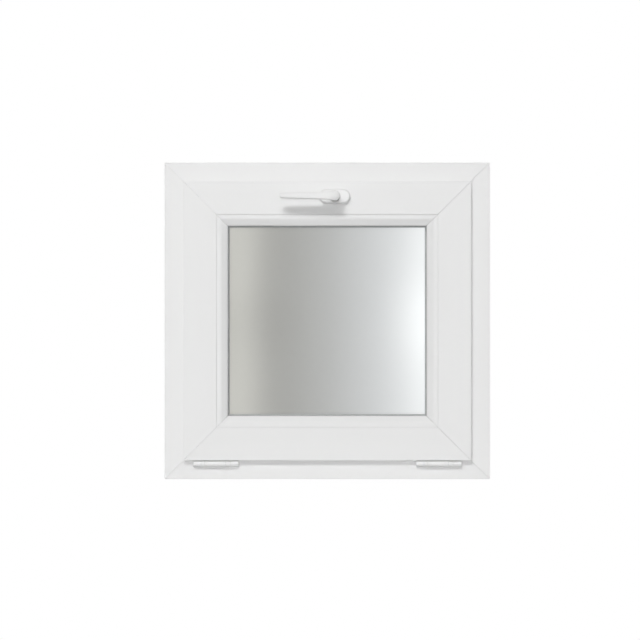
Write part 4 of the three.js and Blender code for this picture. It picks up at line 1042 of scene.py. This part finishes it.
def screw_head(centre, facing, radius, rings=9, columns=40):
    """A polar grid (r, a). The height is a dome falling with r squared, less a recess that is deepest where
    |cos a| r or |sin a| r is under the arm's half width and r is inside the cross. A rim goes down to close
    it behind. facing is the axis and sign that the head looks along."""
    a = np.linspace(0, 2 * np.pi, columns, endpoint=False)[None, :]
    r = radius * np.linspace(0, 1, rings + 1)[1:, None] ** 0.8
    u, v = r * np.cos(a), r * np.sin(a)
    arm = 0.16 * radius
    inside = smooth_step((0.62 * radius - r) / (0.12 * radius) + 0 * a)
    cross = np.maximum(smooth_step((1.5 * arm - np.abs(u)) / arm), smooth_step((1.5 * arm - np.abs(v)) / arm))
    height = 0.32 * (1 - (r / radius) ** 2) + 0.12 - 0.5 * inside * cross
    head = np.stack([u, v, height], -1)
    rim = np.stack([u[-1], v[-1], np.full(columns, -0.6)], -1)[None]
    rows = np.concatenate([head, rim])
    local = np.vstack([rows.reshape(-1, 3), [(0, 0, -0.06)]])
    faces = grid_faces(len(rows), columns)
    faces += [[len(local) - 1, j, (j + 1) % columns] for j in range(columns)]
    faces.append(list(range(rings * columns, (rings + 1) * columns)))
    axis, sign = facing
    order = {"x": (2, 0, 1), "y": (1, 2, 0), "z": (0, 1, 2)}[axis]
    local[:, 2] *= sign
    return local[:, order] + np.asarray(centre, float), faces


def screws(name, body, spots, facing, radius):
    """One object with a head at each spot."""
    heads = [screw_head(spot, facing, radius) for spot in spots]
    starts = np.cumsum([0] + [len(points) for points, _ in heads[:-1]])
    faces = [[i + int(start) for i in face] for (_, group), start in zip(heads, starts) for face in group]
    points = np.vstack([points for points, _ in heads])
    return make_piece(name, points, faces, zinc_plate, body, "zinc_plate")


plate_y = Y_GROOVE + 1.5
for side, way in (("left", -1), ("right", 1)):
    hinge_x = span(f"{side}_hinge_frame_leaf", "x")
    in_hinge = [hinge_x[0] + share * (hinge_x[1] - hinge_x[0]) for share in (0.1, 0.9)]
    leaf_top = span(f"{side}_hinge_frame_leaf", "z")[1]
    leaf_under = span(f"{side}_hinge_sash_leaf", "z")[1] - 2.5
    screws(f"{side}_hinge_frame_screws", "frame", [(x, plate_y, leaf_top) for x in in_hinge], ("z", 1),
           HINGE_SCREW_R)
    screws(f"{side}_hinge_sash_screws", "sash", [(x, plate_y, leaf_under) for x in in_hinge], ("z", -1),
           HINGE_SCREW_R)
    keep_x, keep_z = span(f"{side}_keep", "x"), HEIGHT - REBATE_H - 1.5
    screws(f"{side}_keep_screws", "frame",
           [(x, Y_GROOVE + 6.5, keep_z) for x in (keep_x[0] + 6, keep_x[1] - 6)], ("z", -1), PLATE_SCREW_R)
    bracket_z = span(f"{side}_stay_bracket", "z")
    bracket_face = way * (WIDTH / 2 - REBATE_H - 2.5)
    screws(f"{side}_bracket_screws", "frame",
           [(bracket_face, Y_GROOVE, z) for z in (bracket_z[0] + 6, bracket_z[1] - 6)], ("x", -way),
           PLATE_SCREW_R)
    track_z = span(f"{side}_stay_track", "z")
    track_face = way * (WIDTH / 2 - SASH_H + 3.5)
    screws(f"{side}_track_screws", "sash",
           [(track_face, Y_GROOVE, z) for z in (track_z[0] + 5.5, track_z[1] - 5.5)], ("x", way),
           TRACK_SCREW_R)
plate_x, plate_top = span("drive_faceplate", "x"), span("drive_faceplate", "z")[1]
screws("faceplate_screws", "sash", [(x, Y_GROOVE, plate_top) for x in (plate_x[0] + 7, plate_x[1] - 7)],
       ("z", 1), TRACK_SCREW_R)
print("screw heads made")

# %% [markdown]
# ## Parts that stay as they are
# The steel channels, the spacer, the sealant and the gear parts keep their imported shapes. They only need
# finishes, which go straight into their material slots.

# %% Finishes of the parts that stay


def refinish(material, *nodes):
    """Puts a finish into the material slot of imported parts."""
    for node in nodes:
        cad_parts[node].material_slots[0].material = material


refinish(galvanised, *(f"{part}_steel_{side}" for part in ("frame", "sash") for side in SIDES))
refinish(spacer_aluminium, "glass_spacer_bar")
refinish(edge_sealant, "glass_edge_seal")
refinish(cap_white, "handle_rosette_base")
refinish(zinc_plate, "handle_spindle", "handle_screw_left", "handle_screw_right", "drive_gear",
         "gearbox_housing", "left_hinge_pin", "right_hinge_pin")
print("finishes given to the hidden parts")

# %% [markdown]
# ## The studio
# A window like this is shown on plain white, lit from high in front and a little from the left. The key
# light is wide and low: wide makes shadows soft sideways, and low keeps the line under the sash crisp.

# %% Key light
scene = bpy.context.scene
MIDDLE_Z = 0.29  # half the window's height, in metres
AIM = np.array((0.0, Y_ROOM / MM, MIDDLE_Z))


def area_light(name, way, distance, size, watts):
    """A rectangular light at that way and distance from the window, turned to face it."""
    lamp = bpy.data.lights.new(name, "AREA")
    lamp.shape, lamp.size, lamp.size_y = "RECTANGLE", *size
    lamp.energy = watts
    made = bpy.data.objects.new(name, lamp)
    way = np.array(way, float) / np.linalg.norm(way)
    made.location = AIM + way * distance
    made.rotation_euler = (math.acos(way[2]), 0, math.atan2(way[1], way[0]) + math.pi / 2)
    made.visible_camera = False
    scene.collection.objects.link(made)
    return made


area_light("key", (-0.2, -1, 0.64), 7.0, (2.3, 0.95), 225.0)

# %% [markdown]
# ## Sky
# The rest of the light comes from a plain surround. Most of it comes in a narrow lobe from straight in
# front, so that it reaches into the joints and leaves no dark line beside a lip. What the camera sees past
# the window is plain white, and what it sees through the glass is a little dimmer, so that the panes can
# still be made out from outside.

# %% Surround
SURROUND = 0.15  # from everywhere
FRONT = 52.5  # added from the front
FRONT_WAY = (-0.01, -1.0, 0.0)
FRONT_TIGHT = 300.0  # how fast the front light falls off to the sides
BACK = 1.0  # added from behind
THROUGH = 0.7  # what is seen through glass
UPPER = -0.05  # more from below, where a pale floor sends light back


def make_surround():
    """Brightness along a direction d: SURROUND + FRONT * max(0, d . way)^FRONT_TIGHT + BACK * max(0, -d .
    way) + UPPER * d.z."""
    world = bpy.data.worlds.new("surround")
    scene.world = world
    world.use_nodes = True
    tree = world.node_tree
    tree.nodes.clear()
    way = add_node(tree, "ShaderNodeTexCoord").outputs["Generated"]
    facing = add_node(tree, "ShaderNodeVectorMath", [(0, way), (1, FRONT_WAY)], operation="DOT_PRODUCT")
    bounded = add_node(tree, "ShaderNodeMath", [(0, facing.outputs["Value"]), (1, 0.0)], operation="MAXIMUM")
    lobe = add_node(tree, "ShaderNodeMath", [(0, bounded.outputs[0]), (1, FRONT_TIGHT)], operation="POWER")
    front = add_node(tree, "ShaderNodeMath", [(0, lobe.outputs[0]), (1, FRONT), (2, SURROUND)],
                     operation="MULTIPLY_ADD")
    behind = add_node(tree, "ShaderNodeMath", [(0, facing.outputs["Value"]), (1, 0.0)], operation="MINIMUM")
    both = add_node(tree, "ShaderNodeMath", [(0, behind.outputs[0]), (1, -BACK), (2, front.outputs[0])],
                    operation="MULTIPLY_ADD")
    height = add_node(tree, "ShaderNodeSeparateXYZ", [("Vector", way)])
    total = add_node(tree, "ShaderNodeMath", [(0, height.outputs["Z"]), (1, UPPER), (2, both.outputs[0])],
                     operation="MULTIPLY_ADD")
    light = add_node(tree, "ShaderNodeBackground", [("Color", (1, 1, 1, 1)), ("Strength", total.outputs[0])])
    white = add_node(tree, "ShaderNodeBackground", [("Color", (1, 1, 1, 1)), ("Strength", 1.0)])
    through = add_node(tree, "ShaderNodeBackground", [("Color", (1, 1, 1, 1)), ("Strength", THROUGH)])
    path = add_node(tree, "ShaderNodeLightPath")
    plain = add_node(tree, "ShaderNodeMixShader", [
        (0, path.outputs["Is Transmission Ray"]), (1, light.outputs[0]), (2, through.outputs[0])])
    mixed = add_node(tree, "ShaderNodeMixShader", [
        (0, path.outputs["Is Camera Ray"]), (1, plain.outputs[0]), (2, white.outputs[0])])
    add_node(tree, "ShaderNodeOutputWorld", [("Surface", mixed.outputs[0])])


make_surround()
scene.view_settings.view_transform = "Standard"
print("surround made")

# %% [markdown]
# ## Light behind the glass
# Etched glass shows what is behind it as a soft glow. A glowing card stands behind the window, dimmer left
# of the middle and bright at the right, and only light that has come through glass sees it.

# %% Card behind the glass
CARD_Y = 0.15
CARD_HALF = (0.62, 0.52)
# base, left edge, middle, right, far right, spot at the right, spot at the left
CARD_TERMS = (0.369, 0.218, 0.158, 0.375, 0.135, 0.18, -0.05)


def upright_sheet(name, y, middle, half):
    """A flat sheet of one face at depth y, round a middle (x, z)."""
    corners = np.array(middle) + np.array([(-1, -1), (1, -1), (1, 1), (-1, 1)]) * half
    points = np.column_stack((corners[:, 0], np.full(4, y), corners[:, 1]))
    mesh = bpy.data.meshes.new(name)
    mesh.from_pydata(points.tolist(), [], [(0, 1, 2, 3)])
    made = bpy.data.objects.new(name, mesh)
    scene.collection.objects.link(made)
    return made


def card_finish():
    """The glow at (x, z): a dark base, a soft bump at the left edge, a gentle rise across the middle, and a
    steeper one at the right that is strongest at half height. Warm at the left and cool at the right."""
    material = bpy.data.materials.new("card_glow")
    material.use_nodes = True
    tree = material.node_tree
    tree.nodes.clear()
    where = add_node(tree, "ShaderNodeTexCoord").outputs["Object"]
    place = add_node(tree, "ShaderNodeSeparateXYZ", [("Vector", where)])
    x, z = place.outputs["X"], place.outputs["Z"]

    def calc(operation, *values):
        return add_node(tree, "ShaderNodeMath", list(enumerate(values)), operation=operation).outputs[0]

    def rise(start, stop, power=1.0):
        t = add_node(tree, "ShaderNodeMapRange", [
            ("Value", x), ("From Min", start), ("From Max", stop), ("To Min", 0.0), ("To Max", 1.0)],
            interpolation_type="SMOOTHSTEP" if power == 1.0 else "LINEAR").outputs["Result"]
        return calc("POWER", t, power)

    def hump(value, middle, half_width):
        away = calc("DIVIDE", calc("SUBTRACT", value, middle), half_width)
        return calc("EXPONENT", calc("MULTIPLY", calc("MULTIPLY", away, away), -1.0))

    at_right = calc("MULTIPLY", hump(x, 0.21, 0.08), hump(z, MIDDLE_Z, 0.09))
    at_left = calc("MULTIPLY", hump(x, -0.15, 0.06), hump(z, MIDDLE_Z, 0.06))
    terms = (hump(x, -0.17, 0.045), rise(-0.10, 0.075), rise(0.0, 0.2, 1.6), rise(0.08, 0.2, 2.0),
             at_right, at_left)
    glow = CARD_TERMS[0]
    for term, share in zip(terms, CARD_TERMS[1:]):
        glow = calc("MULTIPLY_ADD", term, share, glow)
    tint = add_node(tree, "ShaderNodeMix", [
        ("Factor", rise(-0.2, 0.12)), ("A", (1.0, 0.98, 0.915, 1)), ("B", (0.99, 1.0, 1.015, 1))],
        data_type="RGBA")
    shine = add_node(tree, "ShaderNodeEmission", [("Color", tint.outputs["Result"]), ("Strength", glow)])
    add_node(tree, "ShaderNodeOutputMaterial", [("Surface", shine.outputs[0])])
    material.cycles.emission_sampling = "NONE"
    return material


card = upright_sheet("glow_card", CARD_Y, (0, MIDDLE_Z), CARD_HALF)
card.data.materials.append(card_finish())
card.visible_camera = card.visible_diffuse = card.visible_glossy = card.visible_shadow = False
card.visible_volume_scatter = False
print("card", CARD_Y, "m behind the frame's middle")

# %% [markdown]
# ## Floor
# A pale round floor lies well below the window, so that other views have a ground. It fades out at its
# edge.

# %% Floor
FLOOR_Z = -0.45
FLOOR_R = 1.0


def make_floor(rings=24, columns=96):
    """A disc as a polar grid: radius times (cos a, sin a)."""
    a = np.linspace(0, 2 * np.pi, columns, endpoint=False)[None, :]
    r = FLOOR_R * np.linspace(0.01, 1, rings)[:, None]
    points = np.stack([r * np.cos(a), r * np.sin(a), FLOOR_Z + 0 * r * a], -1).reshape(-1, 3)
    faces = grid_faces(rings, columns) + [list(range(columns))]
    mesh = bpy.data.meshes.new("floor")
    mesh.from_pydata(points.tolist(), [], faces)
    made = bpy.data.objects.new("floor", mesh)
    scene.collection.objects.link(made)
    material = new_finish("floor_pale", (0.86, 0.86, 0.86), Roughness=0.7)
    vary_colour(material, noise(material, (6.0,) * 3, 4.0), (0.85, 0.85, 0.85), (0.88, 0.88, 0.88))
    tree = material.node_tree
    where = add_node(tree, "ShaderNodeTexCoord").outputs["Object"]
    flat = add_node(tree, "ShaderNodeVectorMath", [(0, where), (1, (1, 1, 0))], operation="MULTIPLY")
    away = add_node(tree, "ShaderNodeVectorMath", [(0, flat.outputs[0])], operation="LENGTH")
    fade = add_node(tree, "ShaderNodeMapRange", [
        ("Value", away.outputs["Value"]), ("From Min", 0.5 * FLOOR_R), ("From Max", 0.98 * FLOOR_R),
        ("To Min", 1.0), ("To Max", 0.0)], interpolation_type="SMOOTHSTEP")
    tree.links.new(fade.outputs["Result"], tree.nodes["Principled BSDF"].inputs["Alpha"])
    mesh.materials.append(material)
    return made


make_floor()
print("floor at z =", FLOOR_Z)

# %% [markdown]
# ## Camera
# A long lens from five metres keeps the window square and flat, as a catalogue view does. The camera looks
# straight along +Y at the middle of the window, from a finger's breadth to the left of it.

# %% Camera
VIEW_DISTANCE = 5.0
VIEW_WIDTH = 1.1815  # width of the picture at the frame's room face
camera_data = bpy.data.cameras.new("camera")
camera_data.sensor_width = 36.0
camera_data.lens = camera_data.sensor_width * VIEW_DISTANCE / VIEW_WIDTH
camera_data.clip_end = 50
camera = bpy.data.objects.new("camera", camera_data)
camera.location = (-0.0134, Y_ROOM / MM - VIEW_DISTANCE, 0.2936)
camera.rotation_euler = (math.radians(90), 0, 0)
scene.collection.objects.link(camera)
scene.camera = camera
print("lens", round(camera_data.lens, 1), "mm")
